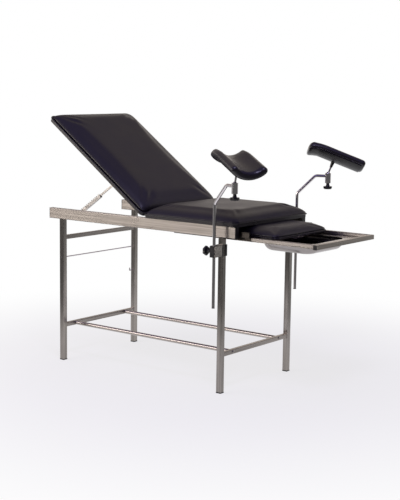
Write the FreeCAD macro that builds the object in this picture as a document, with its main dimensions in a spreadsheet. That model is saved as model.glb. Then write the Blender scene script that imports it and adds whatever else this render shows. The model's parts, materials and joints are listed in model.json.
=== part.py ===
"""Gynaecological examination table: welded steel stand, fixed seat, ratchet backrest, pull-out foot
section with a catch basin, and a pair of knee crutches on clamped posts.

+X points to the foot end, +Y to the side away from the viewer ("far"), +Z up. Lengths are in mm and
angles in degrees. The origin is on the floor, below the middle of the table's bounding box.
"""
import FreeCAD
import Part
import math
import os
import Sketcher

DOC = FreeCAD.newDocument("ExamTable")

# an edge extends this little across its own direction
FLAT = 1e-3

DIMENSIONS = {
    # middle of the leg rectangle, measured from the origin
    "FrameX": -192.2, "FrameY": -5.75,
    # stand
    "LegSpan": 952.7, "LegRow": 521.9, "LegSize": 25.0, "LegWall": 1.2, "LegTop": 690.0,
    "FootHeight": 5.0, "FootInsert": 20.0, "InsertGap": 0.1,
    "RailLength": 1104.0, "RailHeight": 50.0, "RailWidth": 25.0, "RailWall": 1.5, "RailCap": 3.0,
    "BarSize": 20.0, "BarWall": 1.2, "HeadBarZ": 601.0, "LowBarZ": 172.0,
    "StretcherSize": 19.0, "StretcherWall": 1.5, "StretcherRow": 362.0, "StretcherPlug": 12.0,
    "ScrewHead": 12.0, "ScrewHeadHeight": 3.0, "ScrewShank": 6.0, "ScrewLength": 30.0,
    "TearRodSize": 6.0, "TearRodZ": 504.5, "TearRodOverhang": 1.0,
    "HookSize": 6.0, "HookZ": 381.0, "HookReach": 24.0, "HookRise": 14.0,
    # seat and backrest
    "HingeX": 37.6, "HingeZ": 738.0, "HingeGap": 6.0, "BackGap": 10.0, "BackRise": 2.4, "BackAngle": 35.7,
    "BoardThick": 15.0, "BoardWidth": 562.0, "PadWidth": 568.0, "PadThick": 47.0, "PadOverhang": 4.0,
    "SeatFoot": 562.5, "BackLength": 724.0, "PadEndLean": 23.5, "PadCorner": 26.0, "PadCrown": 24.0,
    "BoardCorner": 24.0,
    "LeafLength": 60.0, "LeafReach": 40.0, "LeafThick": 2.0, "KnuckleRadius": 5.0, "PinRadius": 2.5,
    "PinClear": 0.05, "KnuckleGap": 0.4, "HingeRow": 300.0,
    # ratchet struts
    "StrutRow": 446.9, "StrutAlong": 255.0, "StrutDrop": 8.0, "StrutFootX": -411.1, "StrutFootZ": 714.0,
    "StrutWidth": 14.0, "StrutDepth": 18.0, "StrutWall": 1.5, "StrutLength": 185.0, "StrutTail": 10.0,
    "ToothPitch": 13.0, "ToothWidth": 6.0, "ToothDepth": 4.5, "BarDepth": 10.0, "BarThick": 5.0,
    "BarLength": 230.0, "EyeRadius": 8.0, "EyePin": 4.0, "SliderWidth": 10.4, "SliderLength": 24.0,
    "PivotPlate": 3.0, "PivotGap": 0.4, "PivotWidth": 40.0, "PivotHeight": 30.0,
    # outer corner radii of the tubes, and small working clearances
    "RailCorner": 2.5, "TubeCorner": 2.0, "ThinCorner": 1.2, "ThreadClear": 0.1, "TipGap": 0.3,
    "ClampScrewGap": 0.35, "BallGap": 3.0, "NeckLap": 0.5, "NeckHeight": 2.0,
    # pull-out foot section
    "GuideHead": 188.9, "GuideFoot": 608.9, "GuideSheet": 2.0, "GuideTop": 697.8, "GuideFlangeTop": 720.0,
    "GuideFlange": 36.0, "GuideWebAt": 11.5, "GuideLip": 10.0, "GuideBottom": 681.2,
    "SideHead": 388.9, "SideBarAt": 14.0, "SideBarWidth": 20.0, "SideBarHeight": 12.0, "SideBarZ": 683.5,
    "EndBarX": 919.4, "EndBarSize": 20.0, "EndBarLength": 469.0, "EndPlug": 2.0, "ThinWall": 1.2,
    "TieWidth": 30.0, "TieThick": 5.0, "TieHeadX": 450.0, "TieFootX": 670.0,
    "LegBoardHead": 420.0, "LegBoardFoot": 717.0, "LegBoardThick": 6.5, "LegBoardWidth": 408.0,
    "LegPadWidth": 414.0, "LegPadThick": 35.0, "LegPadFoot": 719.5, "LegPadCrown": 20.0,
    "RunnerAt": 22.5, "RunnerSheet": 1.5, "RunnerHeight": 5.5, "RunnerLip": 10.5, "RunnerHead": 398.9,
    "TrayHead": 560.9, "TrayFoot": 917.9, "TrayWidth": 446.9, "TraySheet": 2.0, "TrayZ": 680.0,
    "BasinHead": 588.9, "BasinFoot": 858.9, "BasinWidth": 303.0, "BasinDepth": 46.0, "BasinCorner": 62.0,
    "BasinFillet": 38.0, "TrayCorner": 14.0,
    # knee crutches
    "PostOut": 58.5, "PostRadius": 7.0, "PostFoot": 390.0, "PostBend": 840.0, "PostRise": 86.0,
    "PostReach": 145.0, "PostArmZ": 926.0, "PostBendRadius": 22.0, "PostSwing": 18.3, "TipHeight": 3.0,
    "ClampZ": 634.0, "ClampHeight": 50.0, "ClampReach": 60.0, "ClampBore": 7.05, "ClampShell": 4.0,
    "ClampLip": 9.0, "ClampPlate": 2.5, "ClampScrew": 4.0, "ClampScrewBore": 4.05,
    "KnobRadius": 22.0, "KnobThick": 15.0, "KnobLobe": 6.5, "KnobHub": 6.5, "KnobGap": 22.0,
    "SocketRadius": 14.0, "SocketBottom": 894.5, "SocketTop": 940.5, "BallRadius": 10.0, "BallZ": 936.5,
    "BallClear": 0.05, "LockRadius": 9.95, "LockHub": 7.5, "LockKnobTop": 880.0, "LockKnobThick": 14.0,
    "ShellArcLess": 13.5, "StemRadius": 4.5, "StemBoot": 9.0, "StemBootHeight": 26.0,
    "CrutchSeat": 57.0, "ShellThick": 3.0, "CrutchThick": 31.0, "CrutchBend": 76.0, "CrutchLength": 262.0,
    "CrutchArc": 103.0, "ShellInset": 26.0, "CrutchRound": 12.0,
    "NearYaw": -32.9, "NearPitch": 14.3, "NearRoll": -2.9,
    "FarYaw": 32.7, "FarPitch": 20.9, "FarRoll": -4.3, "CrutchShift": 4.4,
}

SHEET = DOC.addObject("Spreadsheet::Sheet", "Dims")
for row, (alias, value) in enumerate(DIMENSIONS.items(), start=1):
    SHEET.set("A%d" % row, alias)
    SHEET.set("B%d" % row, "%g" % value)
    SHEET.setAlias("B%d" % row, alias)
DOC.recompute()

X_AXIS = FreeCAD.Vector(1, 0, 0)
Y_AXIS = FreeCAD.Vector(0, 1, 0)
Z_AXIS = FreeCAD.Vector(0, 0, 1)
ALONG_X = FreeCAD.Rotation(Y_AXIS, 90)
ALONG_Y = FreeCAD.Rotation(X_AXIS, -90)
UPRIGHT = FreeCAD.Rotation()
NEAR, FAR = -1, 1
SIDES = (("near", NEAR), ("far", FAR))
NODES = []


def size(alias):
    """Reads one driving dimension from the spreadsheet."""
    return float(SHEET.get(alias))


def bind(thing, target, text):
    """Drives a property or a named constraint from the sheet; @Name stands for a sheet cell."""
    thing.setExpression(target, text.replace("@", "Dims."))


def place(thing, x, y, z, rotation=UPRIGHT):
    """Puts an object at sheet-driven coordinates counted from the middle of the leg rectangle."""
    thing.Placement = FreeCAD.Placement(FreeCAD.Vector(), rotation)
    bind(thing, "Placement.Base.x", "@FrameX + " + x)
    bind(thing, "Placement.Base.y", "@FrameY + " + y)
    bind(thing, "Placement.Base.z", z)


def node(thing, label):
    """Names a finished sub-part; the label is also its file name."""
    thing.Label = label
    NODES.append(thing)
    return thing


def box(length, width, height, x, y, z):
    solid = DOC.addObject("Part::Box", "Block")
    bind(solid, "Length", length)
    bind(solid, "Width", width)
    bind(solid, "Height", height)
    place(solid, x, y, z)
    return solid


def cylinder(radius, height, x, y, z, rotation=UPRIGHT):
    solid = DOC.addObject("Part::Cylinder", "Round")
    bind(solid, "Radius", radius)
    bind(solid, "Height", height)
    place(solid, x, y, z, rotation)
    return solid


def fuse(solids):
    joined = DOC.addObject("Part::MultiFuse", "Joined")
    joined.Shapes = solids
    return joined


def cut(base, tool):
    rest = DOC.addObject("Part::Cut", "Rest")
    rest.Base = base
    rest.Tool = tool
    return rest


def group(solids):
    """Keeps identical pieces together as one node of separate solids."""
    together = DOC.addObject("Part::Compound", "Group")
    together.Links = solids
    return together


def body_plane(body, role):
    return next(f for f in body.Origin.OriginFeatures if f.Role == role)


def sketch_on(body, role, name):
    sketch = body.newObject("Sketcher::SketchObject", name)
    sketch.AttachmentSupport = [(body_plane(body, role), "")]
    sketch.MapMode = "FlatFace"
    return sketch


def centred_rectangle(sketch, width, height):
    """Adds a rectangle about the sketch origin; width and height are expressions."""
    first = sketch.GeometryCount
    corners = [(-8, -6), (8, -6), (8, 6), (-8, 6)]
    for start, end in zip(corners, corners[1:] + corners[:1]):
        sketch.addGeometry(Part.LineSegment(FreeCAD.Vector(*start, 0), FreeCAD.Vector(*end, 0)))
    for side in range(4):
        sketch.addConstraint(Sketcher.Constraint("Coincident", first + side, 2, first + (side + 1) % 4, 1))
    for side in (0, 2):
        sketch.addConstraint(Sketcher.Constraint("Horizontal", first + side))
        sketch.addConstraint(Sketcher.Constraint("Vertical", first + side + 1))
    sketch.addConstraint(Sketcher.Constraint("Symmetric", first, 1, first + 1, 2, -1, 1))
    wide = sketch.addConstraint(Sketcher.Constraint("DistanceX", first, 1, first, 2, 16))
    tall = sketch.addConstraint(Sketcher.Constraint("DistanceY", first + 1, 1, first + 1, 2, 12))
    bind(sketch, "Constraints[%d]" % wide, width)
    bind(sketch, "Constraints[%d]" % tall, height)


def pad(body, sketch, length):
    feature = body.newObject("PartDesign::Pad", "Pad")
    feature.Profile = sketch
    bind(feature, "Length", length)
    sketch.Visibility = False
    return feature


def round_edges(body, feature, radius, wanted):
    """Rounds every edge of the feature for which wanted(edge) holds."""
    DOC.recompute()
    names = ["Edge%d" % (n + 1) for n, edge in enumerate(feature.Shape.Edges) if wanted(edge)]
    fillet = body.newObject("PartDesign::Fillet", "Fillet")
    fillet.Base = (feature, names)
    bind(fillet, "Radius", radius)
    DOC.recompute()
    return fillet


def runs_along_z(edge):
    """True for a straight edge parallel to the body's Z axis."""
    box = edge.BoundBox
    return box.ZLength > FLAT and box.XLength < FLAT and box.YLength < FLAT


def tube(width, height, wall, length, corner):
    """Rectangular tube along the body's Z with rounded outer edges."""
    body = DOC.addObject("PartDesign::Body", "Tube")
    sketch = sketch_on(body, "XY_Plane", "Section")
    centred_rectangle(sketch, width, height)
    centred_rectangle(sketch, "%s - 2 * %s" % (width, wall), "%s - 2 * %s" % (height, wall))
    solid = pad(body, sketch, length)
    DOC.recompute()
    reach = solid.Shape.BoundBox.XMax - 0.5
    round_edges(body, solid, corner, lambda e: runs_along_z(e) and abs(e.CenterOfMass.x) > reach)
    return body


def make_rails():
    for name, side in SIDES:
        rail = tube("@RailHeight", "@RailWidth", "@RailWall", "@RailLength", "@RailCorner")
        place(rail, "-@RailLength / 2", "%d * @LegRow / 2" % side, "@LegTop + @RailHeight / 2", ALONG_X)
        node(rail, "rail_%s" % name)
    caps = []
    for _, side in SIDES:
        middle = "%d * @LegRow / 2" % side
        for end in (-1, 1):
            face = "%d * @RailLength / 2" % end
            shift = " - @RailCap" if end < 0 else ""
            plate = box("@RailCap", "@RailWidth", "@RailHeight", face + shift, middle + " - @RailWidth / 2",
                        "@LegTop")
            inner = "(@RailWidth - 2 * @RailWall - 2 * @InsertGap)"
            tall = "(@RailHeight - 2 * @RailWall - 2 * @InsertGap)"
            back = "" if end < 0 else " - @FootInsert"
            plug = box("@FootInsert", inner, tall, face + back, middle + " - " + inner + " / 2",
                       "@LegTop + @RailHeight / 2 - " + tall + " / 2")
            caps.append(fuse([plate, plug]))
    node(group(caps), "rail_end_caps")


def make_legs():
    feet = []
    for end_name, end in (("head", -1), ("foot", 1)):
        for side_name, side in SIDES:
            x = "%d * @LegSpan / 2" % end
            y = "%d * @LegRow / 2" % side
            leg = tube("@LegSize", "@LegSize", "@LegWall", "@LegTop - @FootHeight", "@TubeCorner")
            place(leg, x, y, "@FootHeight")
            if end < 0:
                hole = cylinder("@TearRodSize / 2 + @PinClear", "2 * @LegSize", x, y + " - @LegSize",
                                "@TearRodZ", ALONG_Y)
                leg = cut(leg, hole)
            node(leg, "leg_%s_%s" % (end_name, side_name))
            corner = " - @LegSize / 2"
            plate = box("@LegSize", "@LegSize", "@FootHeight", x + corner, y + corner, "0")
            inner = "(@LegSize - 2 * @LegWall - 2 * @InsertGap)"
            plug = box(inner, inner, "@FootInsert", x + " - " + inner + " / 2", y + " - " + inner + " / 2",
                       "@FootHeight")
            feet.append(fuse([plate, plug]))
    node(group(feet), "feet")


def make_cross_bars():
    gap = "(@LegRow - @LegSize)"
    for name, end, height in (("head_bar_upper", -1, "@HeadBarZ"), ("head_bar_lower", -1, "@LowBarZ"),
                              ("foot_bar_lower", 1, "@LowBarZ")):
        bar = tube("@BarSize", "@BarSize", "@BarWall", gap, "@TubeCorner")
        place(bar, "%d * @LegSpan / 2" % end, "-%s / 2" % gap, height, ALONG_Y)
        if height == "@LowBarZ":
            holes = [cylinder("@ScrewShank / 2 + @ThreadClear", "@BarSize + 2",
                              "%d * @LegSpan / 2 - @BarSize / 2 - 1" % end,
                              "%d * @StretcherRow / 2" % side, height, ALONG_X) for _, side in SIDES]
            bar = cut(bar, fuse(holes))
        node(bar, name)


def make_stretchers():
    length = "(@LegSpan - @BarSize)"
    start = "-%s / 2" % length
    screws = []
    for name, side in SIDES:
        y = "%d * @StretcherRow / 2" % side
        outer = cylinder("@StretcherSize / 2", length, start, y, "@LowBarZ", ALONG_X)
        hollow = cylinder("@StretcherSize / 2 - @StretcherWall", length + " - 2 * @StretcherPlug",
                          start + " + @StretcherPlug", y, "@LowBarZ", ALONG_X)
        thread = cylinder("@ScrewShank / 2 + @ThreadClear", length, start, y, "@LowBarZ", ALONG_X)
        node(cut(outer, fuse([hollow, thread])), "stretcher_%s" % name)
        for end in (-1, 1):
            face = "%d * (@LegSpan / 2 + @BarSize / 2)" % end
            head_at = face if end > 0 else face + " - @ScrewHeadHeight"
            shank_at = face if end < 0 else face + " - @ScrewLength"
            head = cylinder("@ScrewHead / 2", "@ScrewHeadHeight", head_at, y, "@LowBarZ", ALONG_X)
            shank = cylinder("@ScrewShank / 2", "@ScrewLength", shank_at, y, "@LowBarZ", ALONG_X)
            screws.append(fuse([head, shank]))
    node(group(screws), "stretcher_screws")


def make_tear_rod_and_hook():
    width = "(@LegRow + @LegSize + 2 * @TearRodOverhang)"
    rod = cylinder("@TearRodSize / 2", width, "-@LegSpan / 2", "-%s / 2" % width, "@TearRodZ", ALONG_Y)
    node(rod, "paper_tear_rod")
    y = "@LegRow / 2 - @LegSize / 2 - @HookReach"
    peg = cylinder("@HookSize / 2", "@HookReach", "-@LegSpan / 2", y, "@HookZ", ALONG_Y)
    bend = DOC.addObject("Part::Sphere", "Bend")
    bind(bend, "Radius", "@HookSize / 2")
    place(bend, "-@LegSpan / 2", y, "@HookZ")
    tip = cylinder("@HookSize / 2", "@HookRise", "-@LegSpan / 2", y, "@HookZ")
    node(fuse([peg, bend, tip]), "side_hook")


def board(length, width, thick, corner):
    """Flat board with rounded corners, its low-X edge middle at the body origin."""
    body = DOC.addObject("PartDesign::Body", "Board")
    sketch = sketch_on(body, "XY_Plane", "Outline")
    centred_rectangle(sketch, length, width)
    solid = pad(body, sketch, thick)
    round_edges(body, solid, corner, runs_along_z)
    return body


def cushion(length, width, thick, crown, hinge_side):
    """Cushion block with softened corners; the end at the hinge leans back to clear its neighbour."""
    body = DOC.addObject("PartDesign::Body", "Cushion")
    sketch = sketch_on(body, "XY_Plane", "Outline")
    centred_rectangle(sketch, length, width)
    solid = pad(body, sketch, thick)
    shape = round_edges(body, solid, "@PadCorner", runs_along_z)
    top = shape.Shape.BoundBox.ZMax
    round_edges(body, shape, crown, lambda e: abs(e.BoundBox.ZMin - top) < 1e-3)
    if hinge_side:
        wedge = sketch_on(body, "XZ_Plane", "Lean")
        leaning_wedge(wedge, length, thick, hinge_side)
        trim = body.newObject("PartDesign::Pocket", "Trim")
        trim.Profile = wedge
        trim.Type = "ThroughAll"
        trim.Midplane = True
        wedge.Visibility = False
        DOC.recompute()
    return body


def leaning_wedge(sketch, length, thick, hinge_side):
    """Triangle between the hinge end's vertical face and a face leaning back from its bottom edge."""
    spots = [(1, 0), (0, 2), (1, 2)] if hinge_side > 0 else [(-1, 0), (0, 2), (-1, 2)]
    vectors = [FreeCAD.Vector(px, pz, 0) for px, pz in spots]
    for start, stop in zip(vectors, vectors[1:] + vectors[:1]):
        sketch.addGeometry(Part.LineSegment(start, stop))
    for edge in range(3):
        sketch.addConstraint(Sketcher.Constraint("Coincident", edge, 2, (edge + 1) % 3, 1))
    sketch.addConstraint(Sketcher.Constraint("Horizontal", 1))
    sketch.addConstraint(Sketcher.Constraint("Vertical", 2))
    sketch.addConstraint(Sketcher.Constraint("PointOnObject", 0, 1, -1))
    across = sketch.addConstraint(Sketcher.Constraint("DistanceX", -1, 1, 0, 1, hinge_side))
    tall = sketch.addConstraint(Sketcher.Constraint("DistanceY", 0, 1, 1, 1, 2))
    back = sketch.addConstraint(Sketcher.Constraint("DistanceX", 1, 1, 1, 2, hinge_side))
    bind(sketch, "Constraints[%d]" % across, "%d * (%s) / 2" % (hinge_side, length))
    bind(sketch, "Constraints[%d]" % tall, thick)
    bind(sketch, "Constraints[%d]" % back, "%d * (%s) * tan(@PadEndLean * 1deg)" % (hinge_side, thick))


def make_seat():
    start = "@HingeX + @HingeGap"
    length = "@SeatFoot - @HingeX - @HingeGap"
    seat_board = board(length, "@BoardWidth", "@BoardThick", "@BoardCorner")
    place(seat_board, start + " + (%s) / 2" % length, "0", "@LegTop + @RailHeight")
    node(seat_board, "seat_board")
    pad_length = length + " + @PadOverhang"
    seat_pad = cushion(pad_length, "@PadWidth", "@PadThick", "@PadCrown", -1)
    place(seat_pad, start + " + (%s) / 2" % pad_length, "0", "@LegTop + @RailHeight + @BoardThick")
    node(seat_pad, "seat_cushion")


def back_place(thing, along, rise, across="0"):
    """Puts a piece on the raised backrest; along runs from the hinge to the head, rise is off the board."""
    bind(thing, "Placement.Base.x",
         ("@FrameX + @HingeX - (%s) * cos(@BackAngle * 1deg)"
          " + (%s) * sin(@BackAngle * 1deg)" % (along, rise)))
    bind(thing, "Placement.Base.y", "@FrameY + " + across)
    bind(thing, "Placement.Base.z",
         "@HingeZ + (%s) * sin(@BackAngle * 1deg) + (%s) * cos(@BackAngle * 1deg)" % (along, rise))


def raised():
    return FreeCAD.Rotation(Y_AXIS, size("BackAngle"))


def make_backrest():
    length = "@BackLength - @BackGap"
    back_board = board(length, "@BoardWidth", "@BoardThick", "@BoardCorner")
    back_board.Placement.Rotation = raised()
    back_place(back_board, "@BackGap + (%s) / 2" % length, "@BackRise")
    node(back_board, "backrest_board")
    pad_length = length + " + @PadOverhang"
    back_pad = cushion(pad_length, "@PadWidth", "@PadThick", "@PadCrown", 1)
    back_pad.Placement.Rotation = raised()
    back_place(back_pad, "@BackGap + (%s) / 2" % pad_length, "@BackRise + @BoardThick")
    node(back_pad, "backrest_cushion")


def leaf(side, reach, knuckles, swung):
    """One hinge leaf about its own pin axis, with knuckle barrels of the given (start, length)."""
    length = size("LeafLength")
    rise = size("BackRise") if swung else size("LegTop") + size("RailHeight") - size("HingeZ")
    thick = size("LeafThick")
    gap = size("HingeGap")
    pieces = [Part.makeBox(reach - gap, length, thick, FreeCAD.Vector(gap, -length / 2, rise - thick))]
    for start, span in knuckles:
        foot = FreeCAD.Vector(0, start, 0)
        pieces.append(Part.makeCylinder(size("KnuckleRadius"), span, foot, Y_AXIS))
        pieces.append(Part.makeBox(gap, span, thick, FreeCAD.Vector(0, start, rise - thick)))
    solid = pieces[0].multiFuse(pieces[1:])
    bore_start = FreeCAD.Vector(0, -length / 2, 0)
    bore = Part.makeCylinder(size("PinRadius") + size("PinClear"), length, bore_start, Y_AXIS)
    solid = solid.cut(bore).removeSplitter()
    return solid if side > 0 else solid.mirror(FreeCAD.Vector(), X_AXIS)


def make_hinges():
    length, gap = size("LeafLength"), size("KnuckleGap")
    third = length / 3
    middle = [(-third / 2, third)]
    outer = [(-length / 2, third - gap), (third / 2 + gap, third - gap)]
    seat_leaves, back_leaves, pins = [], [], []
    for _, side in SIDES:
        y = "%d * @HingeRow / 2" % side
        fixed = DOC.addObject("Part::Feature", "SeatLeaf")
        fixed.Shape = leaf(1, size("LeafReach"), middle, False)
        place(fixed, "@HingeX", y, "@HingeZ")
        seat_leaves.append(fixed)
        swung = DOC.addObject("Part::Feature", "BackLeaf")
        swung.Shape = leaf(-1, size("LeafReach"), outer, True)
        place(swung, "@HingeX", y, "@HingeZ", raised())
        back_leaves.append(swung)
        pins.append(cylinder("@PinRadius", "@LeafLength", "@HingeX", y + " - @LeafLength / 2",
                             "@HingeZ", ALONG_Y))
    node(group(seat_leaves), "hinge_leaves_seat")
    node(group(back_leaves), "hinge_leaves_backrest")
    node(group(pins), "hinge_pins")


def strut_ends():
    """Strut pivot on the raised backrest and strut pivot on the rail, as (x, z) from the origin."""
    angle = math.radians(size("BackAngle"))
    along, drop = size("StrutAlong"), size("StrutDrop")
    upper = (size("FrameX") + size("HingeX") - along * math.cos(angle) - drop * math.sin(angle),
             size("HingeZ") + along * math.sin(angle) - drop * math.cos(angle))
    lower = (size("FrameX") + size("StrutFootX"), size("StrutFootZ"))
    return upper, lower


def strut_rotation():
    """Turns local +X to point from the rail pivot up to the backrest pivot."""
    upper, lower = strut_ends()
    rise = math.degrees(math.atan2(upper[1] - lower[1], upper[0] - lower[0]))
    return FreeCAD.Rotation(Y_AXIS, -rise)


def strut_feature(shape, at, side):
    piece = DOC.addObject("Part::Feature", "Strut")
    piece.Shape = shape
    y = size("FrameY") + side * size("StrutRow") / 2
    piece.Placement = FreeCAD.Placement(FreeCAD.Vector(at[0], y, at[1]), strut_rotation())
    return piece


def channel_shape():
    """Open-topped strut channel, its rail pivot at the local origin, with ratchet notches."""
    width, depth, wall = size("StrutWidth"), size("StrutDepth"), size("StrutWall")
    tail, length = size("StrutTail"), size("StrutLength")
    outer = Part.makeBox(length, width, depth, FreeCAD.Vector(-tail, -width / 2, -depth / 2))
    room_corner = FreeCAD.Vector(-tail, -width / 2 + wall, -depth / 2 + wall)
    room = Part.makeBox(length, width - 2 * wall, depth, room_corner)
    shape = outer.cut(room)
    pitch, tooth, deep = size("ToothPitch"), size("ToothWidth"), size("ToothDepth")
    notches = []
    start = -tail + pitch
    while start + tooth < length - tail:
        notch_corner = FreeCAD.Vector(start, -width / 2, depth / 2 - deep)
        notches.append(Part.makeBox(tooth, width, deep, notch_corner))
        start += pitch
    return shape.cut(Part.makeCompound(notches))


def slide_bar_shape():
    """Flat bar with an eye at the local origin, reaching down the channel to its slider block."""
    depth, thick, reach = size("BarDepth"), size("BarThick"), size("BarLength")
    eye = size("EyeRadius")
    bar = Part.makeBox(reach, thick, depth, FreeCAD.Vector(-reach, -thick / 2, -depth / 2))
    ring = Part.makeCylinder(eye, thick, FreeCAD.Vector(0, -thick / 2, 0), Y_AXIS)
    wide, block = size("SliderWidth"), size("SliderLength")
    base = -size("StrutDepth") / 2 + size("StrutWall") + size("PivotGap")
    slider = Part.makeBox(block, wide, depth / 2 - base, FreeCAD.Vector(-reach, -wide / 2, base))
    hole_start = FreeCAD.Vector(0, -thick / 2, 0)
    hole = Part.makeCylinder(size("EyePin") + size("PinClear"), thick, hole_start, Y_AXIS)
    return bar.multiFuse([ring, slider]).cut(hole).removeSplitter()


def lug_shape():
    """Ears either side of the bar eye with the pin between them; local origin on the pin."""
    ear_gap = size("BarThick") / 2 + size("PivotGap")
    thick, eye, pin = size("PivotPlate"), size("EyeRadius"), size("EyePin")
    top = size("StrutDrop") + size("BackRise")
    pieces = [Part.makeCylinder(pin, 2 * ear_gap, FreeCAD.Vector(0, -ear_gap, 0), Y_AXIS)]
    for side in (NEAR, FAR):
        y = ear_gap if side > 0 else -ear_gap - thick
        pieces.append(Part.makeBox(2 * eye, thick, top, FreeCAD.Vector(-eye, y, 0)))
        pieces.append(Part.makeCylinder(eye, thick, FreeCAD.Vector(0, y, 0), Y_AXIS))
    flange_corner = FreeCAD.Vector(-2 * eye, -ear_gap - thick, top - thick / 2)
    flange = Part.makeBox(4 * eye, 2 * (ear_gap + thick), thick / 2, flange_corner)
    return pieces[0].multiFuse(pieces[1:] + [flange]).removeSplitter()


def rail_pivot_shape(side):
    """Plate on the rail's inner face with a boss reaching to the strut channel's flank."""
    thick, eye = size("PivotPlate"), size("EyeRadius")
    inner_face = size("LegRow") / 2 - size("RailWidth") / 2
    flank = size("StrutRow") / 2 + size("StrutWidth") / 2 + size("PivotGap")
    width, height = size("PivotWidth"), size("PivotHeight")
    plate_corner = FreeCAD.Vector(-width / 2, inner_face - thick, -height / 2)
    plate = Part.makeBox(width, thick, height, plate_corner)
    boss = Part.makeCylinder(eye, inner_face - flank, FreeCAD.Vector(0, flank, 0), Y_AXIS)
    shape = plate.fuse(boss).removeSplitter()
    return shape if side > 0 else shape.mirror(FreeCAD.Vector(), Y_AXIS)


def make_struts():
    upper, lower = strut_ends()
    lugs, pivots = [], []
    for name, side in SIDES:
        node(strut_feature(channel_shape(), lower, side), "strut_channel_%s" % name)
        node(strut_feature(slide_bar_shape(), upper, side), "strut_bar_%s" % name)
        lug = DOC.addObject("Part::Feature", "Lug")
        lug.Shape = lug_shape()
        lug.Placement.Rotation = raised()
        back_place(lug, "@StrutAlong", "-@StrutDrop", "%d * @StrutRow / 2" % side)
        lugs.append(lug)
        pivot = DOC.addObject("Part::Feature", "RailPivot")
        pivot.Shape = rail_pivot_shape(side)
        place(pivot, "@StrutFootX", "0", "@StrutFootZ")
        pivots.append(pivot)
    node(group(lugs), "strut_lugs")
    node(group(pivots), "strut_rail_pivots")


def rail_box(side, at, width, bottom, height, start, length):
    """Box whose Y is counted inwards from a rail's inner face."""
    face = "(@LegRow / 2 - @RailWidth / 2)"
    y = "-%s + %s" % (face, at) if side < 0 else "%s - %s - %s" % (face, at, width)
    return box(length, width, height, start, y, bottom)


def make_guides():
    length = "@GuideFoot - @GuideHead"
    for name, side in SIDES:
        sheet = "@GuideSheet"
        flange = rail_box(side, "0", sheet, "@GuideTop - @GuideSheet",
                          "@GuideFlangeTop - @GuideTop + @GuideSheet",
                          "@GuideHead", length)
        top = rail_box(side, "0", "@GuideFlange", "@GuideTop - @GuideSheet", sheet, "@GuideHead", length)
        web = rail_box(side, "@GuideWebAt", sheet, "@GuideBottom", "@GuideTop - @GuideBottom",
                       "@GuideHead", length)
        lip = rail_box(side, "@GuideWebAt", "@GuideLip", "@GuideBottom", sheet, "@GuideHead", length)
        node(fuse([flange, top, web, lip]), "slide_guide_%s" % name)


def make_foot_section():
    for name, side in SIDES:
        bar = tube("@SideBarHeight", "@SideBarWidth", "@ThinWall", "@EndBarX - @SideHead",
                   "@ThinCorner")
        y = "%d * (@LegRow / 2 - @RailWidth / 2 - @SideBarAt - @SideBarWidth / 2)" % side
        place(bar, "@SideHead", y, "@SideBarZ + @SideBarHeight / 2", ALONG_X)
        node(bar, "foot_side_bar_%s" % name)
    end = tube("@EndBarSize", "@EndBarSize", "@ThinWall", "@EndBarLength", "@TubeCorner")
    top = "@SideBarZ + @SideBarHeight - @EndBarSize"
    place(end, "@EndBarX + @EndBarSize / 2", "-@EndBarLength / 2", top + " + @EndBarSize / 2", ALONG_Y)
    node(end, "foot_end_bar")
    plugs = []
    for _, side in SIDES:
        inner = "(@EndBarSize - 2 * @ThinWall - 2 * @InsertGap)"
        y = "-@EndBarLength / 2 - 0.5" if side < 0 else "@EndBarLength / 2 + 0.5 - @FootInsert"
        plugs.append(box(inner, "@FootInsert", inner, "@EndBarX + @EndBarSize / 2 - %s / 2" % inner, y,
                         top + " + @EndBarSize / 2 - %s / 2" % inner))
    node(group(plugs), "foot_end_plugs")
    inside = "(@LegRow - @RailWidth - 2 * @SideBarAt - 2 * @SideBarWidth)"
    tie_z = "@SideBarZ + @SideBarHeight - 2 - @TieThick"
    ties = [box("@TieWidth", inside, "@TieThick", x + " - @TieWidth / 2", "-%s / 2" % inside, tie_z)
            for x in ("@TieHeadX", "@TieFootX")]
    ties.append(box("@SideBarWidth", inside, "@SideBarHeight", "@SideHead", "-%s / 2" % inside,
                    "@SideBarZ"))
    node(group(ties), "foot_cross_ties")
    length = "@LegBoardFoot - @LegBoardHead"
    leg_board = board(length, "@LegBoardWidth", "@LegBoardThick", "@BoardCorner")
    place(leg_board, "(@LegBoardHead + @LegBoardFoot) / 2", "0", tie_z + " + @TieThick")
    node(leg_board, "leg_board")
    pad_length = "@LegPadFoot - @LegBoardHead"
    leg_pad = cushion(pad_length, "@LegPadWidth", "@LegPadThick", "@LegPadCrown", 0)
    place(leg_pad, "(@LegBoardHead + @LegPadFoot) / 2", "0", tie_z + " + @TieThick + @LegBoardThick")
    node(leg_pad, "leg_cushion")


def make_runners():
    runners = []
    length = "@EndBarX - @RunnerHead"
    for _, side in SIDES:
        web = rail_box(side, "@RunnerAt", "@RunnerSheet", "@SideBarZ - @RunnerHeight", "@RunnerHeight",
                       "@RunnerHead", length)
        lip = rail_box(side, "@RunnerAt", "@RunnerLip", "@SideBarZ - @RunnerHeight", "@RunnerSheet",
                       "@RunnerHead", length)
        runners.append(fuse([web, lip]))
    node(group(runners), "tray_runners")


def bowl(length, width, depth, corner, fillet, top):
    """Solid basin form hanging below its own XY plane, its rim centred on the tray opening."""
    body = DOC.addObject("PartDesign::Body", "Bowl")
    outline = sketch_on(body, "XY_Plane", "Outline")
    centred_rectangle(outline, length, width)
    form = pad(body, outline, depth)
    form.Reversed = True
    form = round_edges(body, form, corner, runs_along_z)
    low = form.Shape.BoundBox.ZMin
    round_edges(body, form, fillet, lambda e: abs(e.BoundBox.ZMax - low) < 1e-3)
    place(body, "(@BasinHead + @BasinFoot) / 2", "0", top)
    return body


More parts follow.
